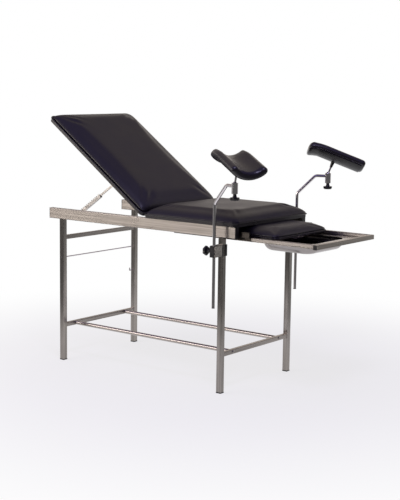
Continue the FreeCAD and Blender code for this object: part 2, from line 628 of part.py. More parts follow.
def make_tray():
    rim = board("@TrayFoot - @TrayHead", "@TrayWidth", "@TraySheet", "@TrayCorner")
    place(rim, "(@TrayHead + @TrayFoot) / 2", "0", "@TrayZ")
    length = "@BasinFoot - @BasinHead"
    outer = bowl(length, "@BasinWidth", "@BasinDepth", "@BasinCorner", "@BasinFillet", "@TrayZ")
    inner = bowl(length + " - 2 * @TraySheet", "@BasinWidth - 2 * @TraySheet", "@BasinDepth",
                 "@BasinCorner - @TraySheet", "@BasinFillet - @TraySheet", "@TrayZ + @TraySheet")
    node(cut(fuse([rim, outer]), inner), "catch_tray")


def side_box(side, out, width, bottom, height, start, length):
    """Box whose Y is counted outwards from the middle of a leg row and X from the foot legs' middle."""
    y = "%d * (@LegRow / 2 + %s)" % (side, out)
    if side < 0:
        y += " - (%s)" % width
    return box(length, width, height, "@LegSpan / 2 + " + start, y, bottom)


def post_y(side):
    return "%d * (@LegRow / 2 + @PostOut)" % side


def make_clamps():
    """Plastic clamps wrapped around the foot legs, each with a bore for the post and a steel plate."""
    half = "@LegSize / 2"
    low = "@ClampZ - @ClampHeight / 2"
    plates = []
    for name, side in SIDES:
        block = side_box(side, half, "@ClampReach", low, "@ClampHeight", "-" + half, "@LegSize")
        back = side_box(side, "-%s - @ClampShell" % half, "@LegSize + 3 * @ClampShell", low, "@ClampHeight",
                        "-%s - @ClampShell" % half, "@ClampShell")
        inner = side_box(side, "-%s - @ClampShell" % half, "@ClampShell", low, "@ClampHeight", "-" + half,
                         "@LegSize")
        lip = side_box(side, "-%s - @ClampShell" % half, "@ClampLip + @ClampShell", low,
                       "@ClampHeight", half,
                       "@ClampPlate")
        outer_lip = side_box(side, "@ClampLip", "@ClampLip + 2", low, "@ClampHeight", half, "@ClampPlate")
        bore = cylinder("@ClampBore", "@ClampHeight + 2", "@LegSpan / 2", post_y(side), low + " - 1")
        thread = cylinder("@ClampScrewBore", "@LegSize", "@LegSpan / 2 - @LegSize", post_y(side), "@ClampZ",
                          ALONG_X)
        solid = fuse([block, back, inner, lip, outer_lip])
        node(cut(solid, fuse([bore, thread])), "clamp_body_%s" % name)
        plates.append(side_box(side, "2 * @ClampLip + 2", "@ClampReach - @ClampLip", low + " + 1",
                               "@ClampHeight - 2", half, "@ClampPlate"))
    node(group(plates), "clamp_plates")


def star_cutters(radius, lobe, height, x, y, z, rotation, count):
    """Finger scallops spaced evenly around a grip's rim."""
    cutters = []
    for step in range(count):
        turn = 360.0 * (step + 0.5) / count
        outward = FreeCAD.Vector(math.cos(math.radians(turn)), math.sin(math.radians(turn)), 0)
        spot = rotation.multVec(outward)
        reach = "(%s + %s / 2)" % (radius, lobe)
        shifted = ["%s + (%.6f) * %s" % (text, part, reach)
                   for text, part in zip((x, y, z), (spot.x, spot.y, spot.z))]
        cutters.append(cylinder(lobe, height, shifted[0], shifted[1], shifted[2], rotation))
    return fuse(cutters)


def make_clamp_knobs():
    for name, side in SIDES:
        face = "@LegSpan / 2 - @LegSize / 2"
        y = post_y(side)
        grip_at = "(%s - @KnobGap - @KnobThick)" % face
        grip = cylinder("@KnobRadius", "@KnobThick", grip_at, y, "@ClampZ", ALONG_X)
        scallops = star_cutters("@KnobRadius", "@KnobLobe", "@KnobThick", grip_at, y, "@ClampZ", ALONG_X, 6)
        hub = cylinder("@KnobHub", "@KnobGap - 0.4", face + " - @KnobGap", y, "@ClampZ", ALONG_X)
        screw = cylinder("@ClampScrew", "@KnobGap + @LegSize / 2 - @PostRadius - @ClampScrewGap",
                         face + " - @KnobGap", y,
                         "@ClampZ", ALONG_X)
        node(fuse([cut(grip, scallops), hub, screw]), "clamp_knob_%s" % name)


def swing(side):
    return FreeCAD.Rotation(Z_AXIS, side * size("PostSwing"))


def post_spine(sketch):
    """Upright, 45 degree rise and level arm, joined by equal bends."""
    lines = [((0, 0), (0, 4)), ((1, 5), (3, 7)), ((4, 8), (7, 8))]
    for start, stop in lines:
        sketch.addGeometry(Part.LineSegment(FreeCAD.Vector(*start, 0), FreeCAD.Vector(*stop, 0)))
    for centre, first, last in (((1.4, 4), 135, 180), ((4, 6.6), 90, 135)):
        circle = Part.Circle(FreeCAD.Vector(*centre, 0), FreeCAD.Vector(0, 0, 1), 1.4)
        sketch.addGeometry(Part.ArcOfCircle(circle, math.radians(first), math.radians(last)))
    for line, line_end, arc, arc_end in ((0, 2, 3, 2), (1, 1, 3, 1), (1, 2, 4, 2), (2, 1, 4, 1)):
        sketch.addConstraint(Sketcher.Constraint("Tangent", line, line_end, arc, arc_end))
    sketch.addConstraint(Sketcher.Constraint("Coincident", 0, 1, -1, 1))
    sketch.addConstraint(Sketcher.Constraint("Vertical", 0))
    sketch.addConstraint(Sketcher.Constraint("Horizontal", 2))
    sketch.addConstraint(Sketcher.Constraint("Angle", 1, math.radians(45)))
    sketch.addConstraint(Sketcher.Constraint("Equal", 3, 4))
    driven = {
        sketch.addConstraint(Sketcher.Constraint("Radius", 3, 1.4)): "@PostBendRadius",
        sketch.addConstraint(Sketcher.Constraint("DistanceX", -1, 1, 4, 3, 4)):
            "@PostRise + @PostBendRadius * tan(22.5deg)",
        sketch.addConstraint(Sketcher.Constraint("DistanceY", -1, 1, 2, 2, 8)): "@PostArmZ - @PostFoot",
        sketch.addConstraint(Sketcher.Constraint("DistanceX", -1, 1, 2, 2, 7)):
            "@PostReach - @SocketRadius + @TipHeight / 2",
    }
    for constraint, text in driven.items():
        bind(sketch, "Constraints[%d]" % constraint, text)


def socket_xy(side):
    """Position of the socket axis: the post's arm is swung outwards."""
    x = "@LegSpan / 2 + @PostReach * cos(@PostSwing * 1deg)"
    y = "%d * (@LegRow / 2 + @PostOut + @PostReach * sin(@PostSwing * 1deg))" % side
    return x, y


def ball_at(radius, x, y, z):
    ball = DOC.addObject("Part::Sphere", "Ball")
    bind(ball, "Radius", radius)
    place(ball, x, y, z)
    return ball


def make_posts():
    for name, side in SIDES:
        bar = DOC.addObject("PartDesign::Body", "PostBar")
        spine = sketch_on(bar, "XZ_Plane", "Spine")
        post_spine(spine)
        profile = sketch_on(bar, "XY_Plane", "Profile")
        profile.addGeometry(Part.Circle(FreeCAD.Vector(), FreeCAD.Vector(0, 0, 1), 5))
        profile.addConstraint(Sketcher.Constraint("Coincident", 0, 3, -1, 1))
        radius = profile.addConstraint(Sketcher.Constraint("Radius", 0, 5))
        bind(profile, "Constraints[%d]" % radius, "@PostRadius")
        DOC.recompute()
        pipe = bar.newObject("PartDesign::AdditivePipe", "Pipe")
        pipe.Profile = profile
        pipe.Spine = (spine, ["Edge%d" % (n + 1) for n in range(len(spine.Shape.Edges))])
        place(bar, "@LegSpan / 2", post_y(side), "@PostFoot", swing(side))
        x, y = socket_xy(side)
        height = "@SocketTop - @SocketBottom"
        wall = cylinder("@SocketRadius", height, x, y, "@SocketBottom")
        throat = cylinder("@BallRadius + @BallClear", "@BallZ - @SocketBottom + 1", x, y,
                          "@SocketBottom - 1")
        seat = ball_at("@BallRadius + @BallClear", x, y, "@BallZ")
        tip_bore = cylinder("@PostRadius - 2", "@FootInsert", "@LegSpan / 2", post_y(side), "@PostFoot - 1")
        node(cut(fuse([bar, wall]), fuse([throat, seat, tip_bore])), "crutch_post_%s" % name)
        cap = cylinder("@PostRadius", "@TipHeight", "@LegSpan / 2", post_y(side),
                       "@PostFoot - @TipHeight - @TipGap")
        stub = cylinder("@PostRadius - 2 - @PinClear", "@FootInsert - 4", "@LegSpan / 2", post_y(side),
                        "@PostFoot - @TipHeight")
        node(fuse([cap, stub]), "post_tip_%s" % name)


def make_lock_knobs():
    for name, side in SIDES:
        x, y = socket_xy(side)
        grip = DOC.addObject("Part::Cone", "Grip")
        bind(grip, "Radius1", "@KnobRadius - 5")
        bind(grip, "Radius2", "@KnobRadius + 1")
        bind(grip, "Height", "@LockKnobThick")
        low = "@LockKnobTop - @LockKnobThick"
        place(grip, x, y, low)
        scallops = star_cutters("@KnobRadius", "@KnobLobe", "@LockKnobThick", x, y, low, UPRIGHT, 6)
        hub = cylinder("@LockHub", "@SocketBottom - @LockKnobTop", x, y, "@LockKnobTop")
        screw = cylinder("@LockRadius", "@BallZ - @BallRadius - @BallGap - @SocketBottom", x, y,
                         "@SocketBottom + 1")
        neck = cylinder("@LockHub", "@NeckHeight", x, y, "@SocketBottom - @NeckLap")
        node(fuse([cut(grip, scallops), hub, neck, screw]), "lock_knob_%s" % name)
        cup = cylinder("@LockRadius", "@BallRadius - 3.5", x, y, "@BallZ - @BallRadius - 1.6")
        hollow = ball_at("@BallRadius + @BallClear", x, y, "@BallZ")
        node(cut(cup, hollow), "ball_cup_%s" % name)


def crutch_rotation(side):
    word = "Near" if side < 0 else "Far"
    yaw = FreeCAD.Rotation(Z_AXIS, size(word + "Yaw"))
    pitch = FreeCAD.Rotation(Y_AXIS, size(word + "Pitch"))
    roll = FreeCAD.Rotation(X_AXIS, size(word + "Roll"))
    return yaw * pitch * roll


def on_crutch(thing, side, shift, rise, spin=UPRIGHT):
    """Puts a piece in the tilted frame of a knee crutch: shift along it, rise away from the ball."""
    rotation = crutch_rotation(side)
    along, away = rotation.multVec(X_AXIS), rotation.multVec(Z_AXIS)
    x, y = socket_xy(side)
    spots = ["%s + (%s) * (%.6f) + (%s) * (%.6f)" % (base, shift, a, rise, r)
             for base, a, r in zip((x, y, "@BallZ"), (along.x, along.y, along.z), (away.x, away.y, away.z))]
    place(thing, spots[0], spots[1], spots[2], rotation * spin)


def gutter(length, inner, outer, arc):
    """Curved slab swept about the body's X axis, open towards +Z."""
    body = DOC.addObject("PartDesign::Body", "Gutter")
    sketch = sketch_on(body, "XZ_Plane", "Section")
    corners = [(-8, -9), (8, -9), (8, -6), (-8, -6)]
    for start, end in zip(corners, corners[1:] + corners[:1]):
        sketch.addGeometry(Part.LineSegment(FreeCAD.Vector(*start, 0), FreeCAD.Vector(*end, 0)))
    for side in range(4):
        sketch.addConstraint(Sketcher.Constraint("Coincident", side, 2, (side + 1) % 4, 1))
    for side in (1, 3):
        sketch.addConstraint(Sketcher.Constraint("Vertical", side))
    sketch.addConstraint(Sketcher.Constraint("Horizontal", 2))
    sketch.addConstraint(Sketcher.Constraint("Symmetric", 0, 1, 0, 2, -2))
    driven = {
        sketch.addConstraint(Sketcher.Constraint("DistanceX", 0, 1, 0, 2, 16)): length,
        sketch.addConstraint(Sketcher.Constraint("DistanceY", 0, 1, -1, 1, 9)): outer,
        sketch.addConstraint(Sketcher.Constraint("DistanceY", 2, 1, -1, 1, 6)): inner,
    }
    for constraint, text in driven.items():
        bind(sketch, "Constraints[%d]" % constraint, text)
    DOC.recompute()
    slab = body.newObject("PartDesign::Revolution", "Sweep")
    slab.Profile = sketch
    slab.ReferenceAxis = (body_plane(body, "X_Axis"), [""])
    slab.Midplane = True
    bind(slab, "Angle", arc)
    sketch.Visibility = False
    DOC.recompute()
    return body, slab


def make_crutches():
    axis = "@CrutchSeat + @ShellThick + @CrutchThick + @CrutchBend"
    for name, side in SIDES:
        stud_ball = ball_at("@BallRadius", "0", "0", "0")
        on_crutch(stud_ball, side, "0", "0")
        stem = cylinder("@StemRadius", "@CrutchSeat - 2", "0", "0", "0")
        on_crutch(stem, side, "0", "0")
        node(fuse([stud_ball, stem]), "ball_stud_%s" % name)
        shell, _ = gutter("@CrutchLength - @ShellInset", "@CrutchBend + @CrutchThick",
                          "@CrutchBend + @CrutchThick + @ShellThick", "@CrutchArc - @ShellArcLess")
        on_crutch(shell, side, "@CrutchShift", axis)
        boot = DOC.addObject("Part::Cone", "Boot")
        bind(boot, "Radius1", "@StemRadius + 1")
        bind(boot, "Radius2", "@StemBoot")
        bind(boot, "Height", "@StemBootHeight")
        on_crutch(boot, side, "0", "@CrutchSeat + 1 - @StemBootHeight")
        hole = cylinder("@StemRadius + @PinClear", "@CrutchSeat - 1.5", "0", "0", "0")
        on_crutch(hole, side, "0", "0")
        node(cut(fuse([shell, boot]), hole), "crutch_shell_%s" % name)
        cushion_body, slab = gutter("@CrutchLength", "@CrutchBend", "@CrutchBend + @CrutchThick",
                                    "@CrutchArc")
        radial = round_edges(cushion_body, slab, "@CrutchRound * 1.5", is_radial)
        inner = size("CrutchBend")
        round_edges(cushion_body, radial, "@CrutchRound", lambda e: lies_at_radius(e, inner))
        on_crutch(cushion_body, side, "@CrutchShift", axis)
        node(cushion_body, "crutch_cushion_%s" % name)


def is_radial(edge):
    """Short corner edges that point at the gutter's axis."""
    return edge.BoundBox.XLength < 1e-3 and abs(edge.Length - size("CrutchThick")) < 0.5


def lies_at_radius(edge, radius):
    """True where the whole edge runs at one distance from the gutter's axis."""
    return all(abs(math.hypot(p.y, p.z) - radius) < 0.1 for p in edge.discretize(5))


def main():
    make_rails()
    make_legs()
    make_cross_bars()
    make_stretchers()
    make_tear_rod_and_hook()
    make_seat()
    make_backrest()
    make_hinges()
    make_struts()
    make_guides()
    make_foot_section()
    make_runners()
    make_tray()
    make_clamps()
    make_clamp_knobs()
    make_posts()
    make_lock_knobs()
    make_crutches()


def check_document():
    """Stops the build when an object failed or a part has no valid shape."""
    for item in DOC.Objects:
        if "Invalid" in item.State or "Error" in item.State:
            raise RuntimeError("%s did not recompute" % item.Name)
    for part in NODES:
        if part.Shape.isNull() or not part.Shape.isValid():
            raise RuntimeError("%s has no valid shape" % part.Label)


def export_parts():
    os.makedirs("parts", exist_ok=True)
    for part in NODES:
        part.Shape.exportStep("parts/%s.step" % part.Label)
    print("%d parts written" % len(NODES), flush=True)


main()
DOC.recompute()
check_document()
export_parts()
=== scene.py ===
"""Looks for the examination table: upholstery, grips, welds, screws, finishes and the studio.

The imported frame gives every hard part. Soft parts are rebuilt here as pressed foam in sewn vinyl, the
moulded grips as lobed shapes, and each surface gets the finish of the real one. Lengths are in metres.
"""
import json
import math

import bmesh
import bpy
from mathutils import Euler, Matrix, Vector


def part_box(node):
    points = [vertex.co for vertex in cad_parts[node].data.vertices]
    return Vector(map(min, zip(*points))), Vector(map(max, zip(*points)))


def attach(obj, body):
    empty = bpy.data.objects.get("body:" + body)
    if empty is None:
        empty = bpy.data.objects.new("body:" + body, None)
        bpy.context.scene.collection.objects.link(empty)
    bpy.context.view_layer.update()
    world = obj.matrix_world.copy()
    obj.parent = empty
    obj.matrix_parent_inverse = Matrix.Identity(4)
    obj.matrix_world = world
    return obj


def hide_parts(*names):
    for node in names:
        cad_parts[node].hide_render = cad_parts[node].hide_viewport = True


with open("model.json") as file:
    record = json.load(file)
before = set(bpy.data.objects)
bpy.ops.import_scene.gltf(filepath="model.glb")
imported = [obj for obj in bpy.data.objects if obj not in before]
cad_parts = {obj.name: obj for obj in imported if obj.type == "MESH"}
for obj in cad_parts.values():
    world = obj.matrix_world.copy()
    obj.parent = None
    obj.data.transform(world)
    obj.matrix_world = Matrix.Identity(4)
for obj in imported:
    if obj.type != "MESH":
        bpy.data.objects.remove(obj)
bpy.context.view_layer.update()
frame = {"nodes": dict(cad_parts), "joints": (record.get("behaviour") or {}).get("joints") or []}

bl_info = {
    "name": "Examination table builder",
    "version": (1, 0, 0),
    "blender": (4, 5, 0),
    "location": "View3D > Sidebar > Exam table",
    "description": "Builds the upholstery, grips, fastenings, finishes and studio of an examination table",
    "category": "Object",
}

MM = 0.001
JOINTS = {joint["name"]: joint for joint in frame["joints"]}
HINGE = Vector(JOINTS["backrest_tilt"]["pos_m"])
# distances of the backrest cushion from its hinge, along the board and above it
BACK_NEAR_END, BACK_FAR_END = 0.010, 0.728
BACK_UNDER, BACK_TOP = 0.0174, 0.0644
# the board's own head end, and the underside that the cover is stapled to
BOARD_FAR_END, BOARD_UNDER = 0.724, 0.0023
# slope of the cushion ends that meet over the hinge
END_LEAN = math.tan(math.radians(23.5))
RAISED = math.radians(-JOINTS["backrest_tilt"]["range_deg"][0])
SIDES = ("near", "far")


# ---------------------------------------------------------------- colours and node trees

def linear(hex_colour):
    """An sRGB hex colour as linear RGBA."""
    parts = [int(hex_colour[i:i + 2], 16) / 255 for i in (1, 3, 5)]
    return tuple(c / 12.92 if c <= 0.04045 else ((c + 0.055) / 1.055) ** 2.4 for c in parts) + (1.0,)


def add(tree, kind, inputs=None, **settings):
    """Adds a node. inputs maps a socket to a value or to the output that feeds it."""
    node = tree.nodes.new(kind)
    for name, value in settings.items():
        setattr(node, name, value)
    for key, source in (inputs or {}).items():
        if isinstance(source, bpy.types.NodeSocket):
            tree.links.new(source, node.inputs[key])
        else:
            node.inputs[key].default_value = source
    return node


def new_material(name):
    material = bpy.data.materials.new(name)
    material.use_nodes = True
    material.node_tree.nodes.clear()
    return material


def ramp(tree, value, stops):
    """Colour ramp between (position, colour) stops."""
    node = add(tree, "ShaderNodeValToRGB", {"Fac": value})
    elements = node.color_ramp.elements
    for element, (position, colour) in zip(elements, stops):
        element.position = position
        element.color = colour
    return node.outputs["Color"]


def object_space(tree, scale):
    """Object coordinates scaled to pattern units along each axis."""
    where = add(tree, "ShaderNodeTexCoord")
    return add(tree, "ShaderNodeMapping",
               {"Vector": where.outputs["Object"], "Scale": scale}).outputs["Vector"]


def grain_scale(grain, across_mm, along_mm):
    """Pattern scale that stretches noise along the grain axis."""
    scale = [1 / (across_mm * MM)] * 3
    scale["XYZ".index(grain)] = 1 / (along_mm * MM)
    return scale


def brushed_stainless(name, grain, hex_colour, roughness):
    """Drawn and belt-brushed stainless tube: fine scratches along the tube spread highlights across it."""
    material = new_material(name)
    tree = material.node_tree
    # belt lines are 0.2 mm apart; they are drawn 0.9 mm apart so that they show close up
    fine = grain_scale(grain, 0.9, 160)
    lines = add(tree, "ShaderNodeTexNoise", {"Vector": object_space(tree, fine), "Scale": 1.0, "Detail": 2.0})
    # uneven polishing leaves broader streaks, and hands leave soft patches
    broad = grain_scale(grain, 7, 420)
    streaks = add(tree, "ShaderNodeTexNoise",
                  {"Vector": object_space(tree, broad), "Scale": 1.0, "Detail": 3.0})
    patches = add(tree, "ShaderNodeTexNoise",
                  {"Vector": object_space(tree, (9, 9, 9)), "Scale": 1.0, "Detail": 3.0})
    base = linear(hex_colour)
    dull = tuple(c * 0.62 for c in base[:3]) + (1.0,)
    colour = ramp(tree, streaks.outputs["Fac"], [(0.32, dull), (0.62, base)])
    rough = add(tree, "ShaderNodeMapRange",
                {"Value": patches.outputs["Fac"], "From Min": 0.3, "From Max": 0.7,
                                             "To Min": roughness - 0.05, "To Max": roughness + 0.06})
    bump = add(tree, "ShaderNodeBump",
               {"Height": lines.outputs["Fac"], "Strength": 0.04, "Distance": 0.05 * MM})
    # the scratches fan light out across themselves
    round_grain = add(tree, "ShaderNodeTangent", direction_type="RADIAL", axis=grain)
    shader = add(tree, "ShaderNodeBsdfPrincipled", {"Base Color": colour, "Metallic": 1.0,
                                                    "Roughness": rough.outputs["Result"], "Anisotropic": 0.88,
                                                    "Tangent": round_grain.outputs["Tangent"],
                                                    "Normal": bump.outputs["Normal"]})
    add(tree, "ShaderNodeOutputMaterial", {"Surface": shader.outputs["BSDF"]})
    return material


def plated_steel(name, hex_colour, roughness, blotch_mm):
    """Plated or polished steel: near-even mirror with faint cloudiness of the given size."""
    material = new_material(name)
    tree = material.node_tree
    size = 1 / (blotch_mm * MM)
    cloud = add(tree, "ShaderNodeTexNoise",
                {"Vector": object_space(tree, (size,) * 3), "Scale": 1.0, "Detail": 3.0})
    rough = add(tree, "ShaderNodeMapRange", {"Value": cloud.outputs["Fac"], "From Min": 0.3, "From Max": 0.7,
                                             "To Min": roughness * 0.8, "To Max": roughness * 1.35})
    base = linear(hex_colour)
    tint = tuple(c * 0.9 for c in base[:3]) + (1.0,)
    colour = add(tree, "ShaderNodeMix", {"Factor": cloud.outputs["Fac"], "A": base, "B": tint},
                 data_type="RGBA")
    shader = add(tree, "ShaderNodeBsdfPrincipled", {"Base Color": colour.outputs[2], "Metallic": 1.0,
                                                    "Roughness": rough.outputs["Result"]})
    add(tree, "ShaderNodeOutputMaterial", {"Surface": shader.outputs["BSDF"]})
    return material


def coated_vinyl(name, hex_colour, grain_mm, roughness):
    """PVC-coated upholstery cloth: embossed hide grain under a soft satin topcoat."""
    material = new_material(name)
    tree = material.node_tree
    size = 1 / (grain_mm * MM)
    cells = add(tree, "ShaderNodeTexVoronoi", {"Vector": object_space(tree, (size,) * 3), "Scale": 1.0},
                feature="DISTANCE_TO_EDGE")
    creases = add(tree, "ShaderNodeTexNoise", {"Vector": object_space(tree, (38, 38, 38)), "Scale": 1.0,
                                               "Detail": 4.0, "Roughness": 0.6})
    pebble = add(tree, "ShaderNodeMapRange",
                 {"Value": cells.outputs["Distance"], "From Min": 0.0, "From Max": 0.22,
                                              "To Min": 0.0, "To Max": 1.0})
    height = add(tree, "ShaderNodeMath", {0: pebble.outputs["Result"], 1: creases.outputs["Fac"]},
                 operation="ADD")
    bump = add(tree, "ShaderNodeBump",
               {"Height": height.outputs["Value"], "Strength": 0.3, "Distance": 0.12 * MM})
    base = linear(hex_colour)
    worn = tuple(c * 1.35 + 0.002 for c in base[:3]) + (1.0,)
    shade = add(tree, "ShaderNodeTexNoise",
                {"Vector": object_space(tree, (7, 7, 7)), "Scale": 1.0, "Detail": 5.0})
    colour = ramp(tree, shade.outputs["Fac"], [(0.35, base), (0.75, worn)])
    rough = add(tree, "ShaderNodeMapRange", {"Value": shade.outputs["Fac"], "From Min": 0.3, "From Max": 0.7,
                                             "To Min": roughness - 0.04, "To Max": roughness + 0.05})
    shader = add(tree, "ShaderNodeBsdfPrincipled",
                 {"Base Color": colour, "Roughness": rough.outputs["Result"],
                                                    "IOR": 1.5,
                                                    "Normal": bump.outputs["Normal"]})
    add(tree, "ShaderNodeOutputMaterial", {"Surface": shader.outputs["BSDF"]})
    return material


def moulded_plastic(name, hex_colour, texture_mm, roughness):
    """Injection-moulded nylon or ABS: fine spark-eroded texture and slight gloss change."""
    material = new_material(name)
    tree = material.node_tree
    size = 1 / (texture_mm * MM)
    spark = add(tree, "ShaderNodeTexNoise",
                {"Vector": object_space(tree, (size,) * 3), "Scale": 1.0, "Detail": 2.0})
    flow = add(tree, "ShaderNodeTexNoise",
               {"Vector": object_space(tree, (45, 45, 45)), "Scale": 1.0, "Detail": 2.0})
    bump = add(tree, "ShaderNodeBump",
               {"Height": spark.outputs["Fac"], "Strength": 0.25, "Distance": 0.05 * MM})
    base = linear(hex_colour)
    pale = tuple(c * 1.3 + 0.002 for c in base[:3]) + (1.0,)
    colour = ramp(tree, flow.outputs["Fac"], [(0.3, base), (0.8, pale)])
    rough = add(tree, "ShaderNodeMapRange", {"Value": flow.outputs["Fac"], "From Min": 0.3, "From Max": 0.7,
                                             "To Min": roughness - 0.05, "To Max": roughness + 0.05})
    shader = add(tree, "ShaderNodeBsdfPrincipled",
                 {"Base Color": colour, "Roughness": rough.outputs["Result"],
                                                    "IOR": 1.5, "Normal": bump.outputs["Normal"]})
    add(tree, "ShaderNodeOutputMaterial", {"Surface": shader.outputs["BSDF"]})
    return material


# ---------------------------------------------------------------- settings

class UpholsterySettings(bpy.types.PropertyGroup):
    vinyl: bpy.props.StringProperty(name="Vinyl colour", description="Cover colour, sRGB hex",
                                    default="#1d1a1f")
    seat_margin: bpy.props.FloatProperty(name="Seat slope",
                                         description="Width of the sloping edge of the seat and "
                                         "back cushions", default=0.074, unit="LENGTH")
    leg_margin: bpy.props.FloatProperty(name="Leg slope",
                                        description="Width of the sloping edge of the leg cushion",
                                        default=0.060, unit="LENGTH")
    voxel: bpy.props.FloatProperty(name="Voxel", description="Remesh size of the large cushions",
                                   default=0.006,
                                   unit="LENGTH")
    pressure: bpy.props.FloatProperty(name="Foam pressure",
                                      description="Pressure of the foam against the cover",
                                      default=4.0)
    corner: bpy.props.FloatProperty(name="Corner", description="Plan radius of the cushions' corners",
                                    default=0.024, unit="LENGTH")
    headroom: bpy.props.FloatProperty(name="Headroom", description="Height left for the foam to swell into",
                                      default=0.004, unit="LENGTH")
    held_edge: bpy.props.FloatProperty(name="Held edge", description="Height of the cover fixed to the board",
                                       default=0.006, unit="LENGTH")
    fold_depth: bpy.props.FloatProperty(name="Fold depth", description="Depth of the folds sewn at a corner",
                                        default=0.0028, unit="LENGTH")
    fold_reach: bpy.props.FloatProperty(name="Fold reach", description="Height that a fold runs up",
                                        default=0.032, unit="LENGTH")
    fold_width: bpy.props.FloatProperty(name="Fold width", description="Half width of a fold",
                                        default=0.0035, unit="LENGTH")
    puff: bpy.props.FloatProperty(name="Puff limit", description="Furthest a cover may swell", default=0.007,
                                  unit="LENGTH")
    roll: bpy.props.FloatProperty(name="Edge roll", description="Radius of the cover's rolled lower edge",
                                  default=0.0028, unit="LENGTH")


class CrutchSettings(bpy.types.PropertyGroup):
    length: bpy.props.FloatProperty(name="Length", description="Along the leg", default=0.262, unit="LENGTH")
    thick: bpy.props.FloatProperty(name="Thickness", description="Foam and cover", default=0.031,
                                   unit="LENGTH")
    bend: bpy.props.FloatProperty(name="Bend", description="Inside radius of the gutter", default=0.076,
                                  unit="LENGTH")
    arc: bpy.props.FloatProperty(name="Arc", description="Sweep of the gutter", default=math.radians(103),
                                 subtype="ANGLE")
    seat: bpy.props.FloatProperty(name="Stem", description="Ball centre to the underside of the shell",
                                  default=0.057, unit="LENGTH")
    curl: bpy.props.FloatProperty(name="Curl", description="How far the knee end rolls away from the leg",
                                  default=0.020, unit="LENGTH")
    curl_start: bpy.props.FloatProperty(name="Curl length", description="Length of the rolled end",
                                        default=0.085, unit="LENGTH")
    shell: bpy.props.FloatProperty(name="Shell", description="Shell thickness", default=0.003, unit="LENGTH")
    shift: bpy.props.FloatProperty(name="Shift", description="Gutter middle past the stem", default=0.0044,
                                   unit="LENGTH")
    near_turn: bpy.props.FloatVectorProperty(name="Near set",
                                             description="Roll, pitch and yaw of the near gutter",
                                             default=[math.radians(v) for v in (-2.9, 14.3, -32.9)],
                                             subtype="EULER")
    far_turn: bpy.props.FloatVectorProperty(name="Far set",
                                            description="Roll, pitch and yaw of the far gutter",
                                            default=[math.radians(v) for v in (-4.3, 20.9, 32.7)],
                                            subtype="EULER")


class GripSettings(bpy.types.PropertyGroup):
    lobes: bpy.props.IntProperty(name="Lobes", description="Finger lobes round a grip", default=6)
    clamp_radius: bpy.props.FloatProperty(name="Clamp grip", description="Radius over the lobes",
                                          default=0.0215,
                                          unit="LENGTH")
    lock_radius: bpy.props.FloatProperty(name="Lock grip", description="Radius over the lobes",
                                         default=0.0225,
                                         unit="LENGTH")
    depth: bpy.props.FloatProperty(name="Lobe depth", description="Share of the radius cut between lobes",
                                   default=0.17)


class SteelSettings(bpy.types.PropertyGroup):
    tube: bpy.props.StringProperty(name="Tube colour", description="Stainless colour, sRGB hex",
                                   default="#a9a39d")
    roughness: bpy.props.FloatProperty(name="Brushing", description="Roughness of the brushed tube",
                                       default=0.3)
    bead: bpy.props.FloatProperty(name="Weld bead", description="Radius of one weld ripple", default=0.0016,
                                  unit="LENGTH")
    screw: bpy.props.FloatProperty(name="Leaf screw", description="Head radius of the hinge screws",
                                   default=0.0036, unit="LENGTH")


class StudioSettings(bpy.types.PropertyGroup):
    camera: bpy.props.FloatVectorProperty(name="Camera", description="Camera position",
                                          default=(3.2788, -4.2987, 1.3674),
                                          subtype="XYZ")
    azimuth: bpy.props.FloatProperty(name="Azimuth", description="Camera heading",
                                     default=math.radians(37.692),
                                     subtype="ANGLE")
    elevation: bpy.props.FloatProperty(name="Elevation", description="Downward tilt",
                                       default=math.radians(8.320),
                                       subtype="ANGLE")
    roll: bpy.props.FloatProperty(name="Roll", description="Camera roll", default=math.radians(0.782),
                                  subtype="ANGLE")
    lens: bpy.props.FloatProperty(name="Lens", description="Focal length in millimetres", default=84.68)
    floor: bpy.props.StringProperty(name="Floor", description="Floor colour, sRGB hex", default="#f4f2f1")


SETTINGS = {
    "table_upholstery": UpholsterySettings,
    "table_crutch": CrutchSettings,
    "table_grip": GripSettings,
    "table_steel": SteelSettings,
    "table_studio": StudioSettings,
}


# ---------------------------------------------------------------- meshes

def link(mesh, name):
    piece = bpy.data.objects.new(name, mesh)
    bpy.context.scene.collection.objects.link(piece)
    return piece


def dress(piece, material):
    piece.data.materials.clear()
    piece.data.materials.append(material)


def mesh_of(name, points, faces=(), edges=()):
    mesh = bpy.data.meshes.new(name)
    mesh.from_pydata([tuple(p) for p in points], list(edges), list(faces))
    mesh.update()
    return mesh


def rounded_outline(x0, x1, y0, y1, inset, corner, steps=8):
    """Points round a rectangle with rounded corners, moved inwards by inset."""
    radius = corner + 0.75 * inset
    x0, x1, y0, y1 = x0 + inset, x1 - inset, y0 + inset, y1 - inset
    points = []
    for cx, cy, first in ((x1 - radius, y1 - radius, 0), (x0 + radius, y1 - radius, 90),
                          (x0 + radius, y0 + radius, 180), (x1 - radius, y0 + radius, 270)):
        for step in range(steps + 1):
            turn = math.radians(first + 90 * step / steps)
            points.append((cx + radius * math.cos(turn), cy + radius * math.sin(turn)))
    return points


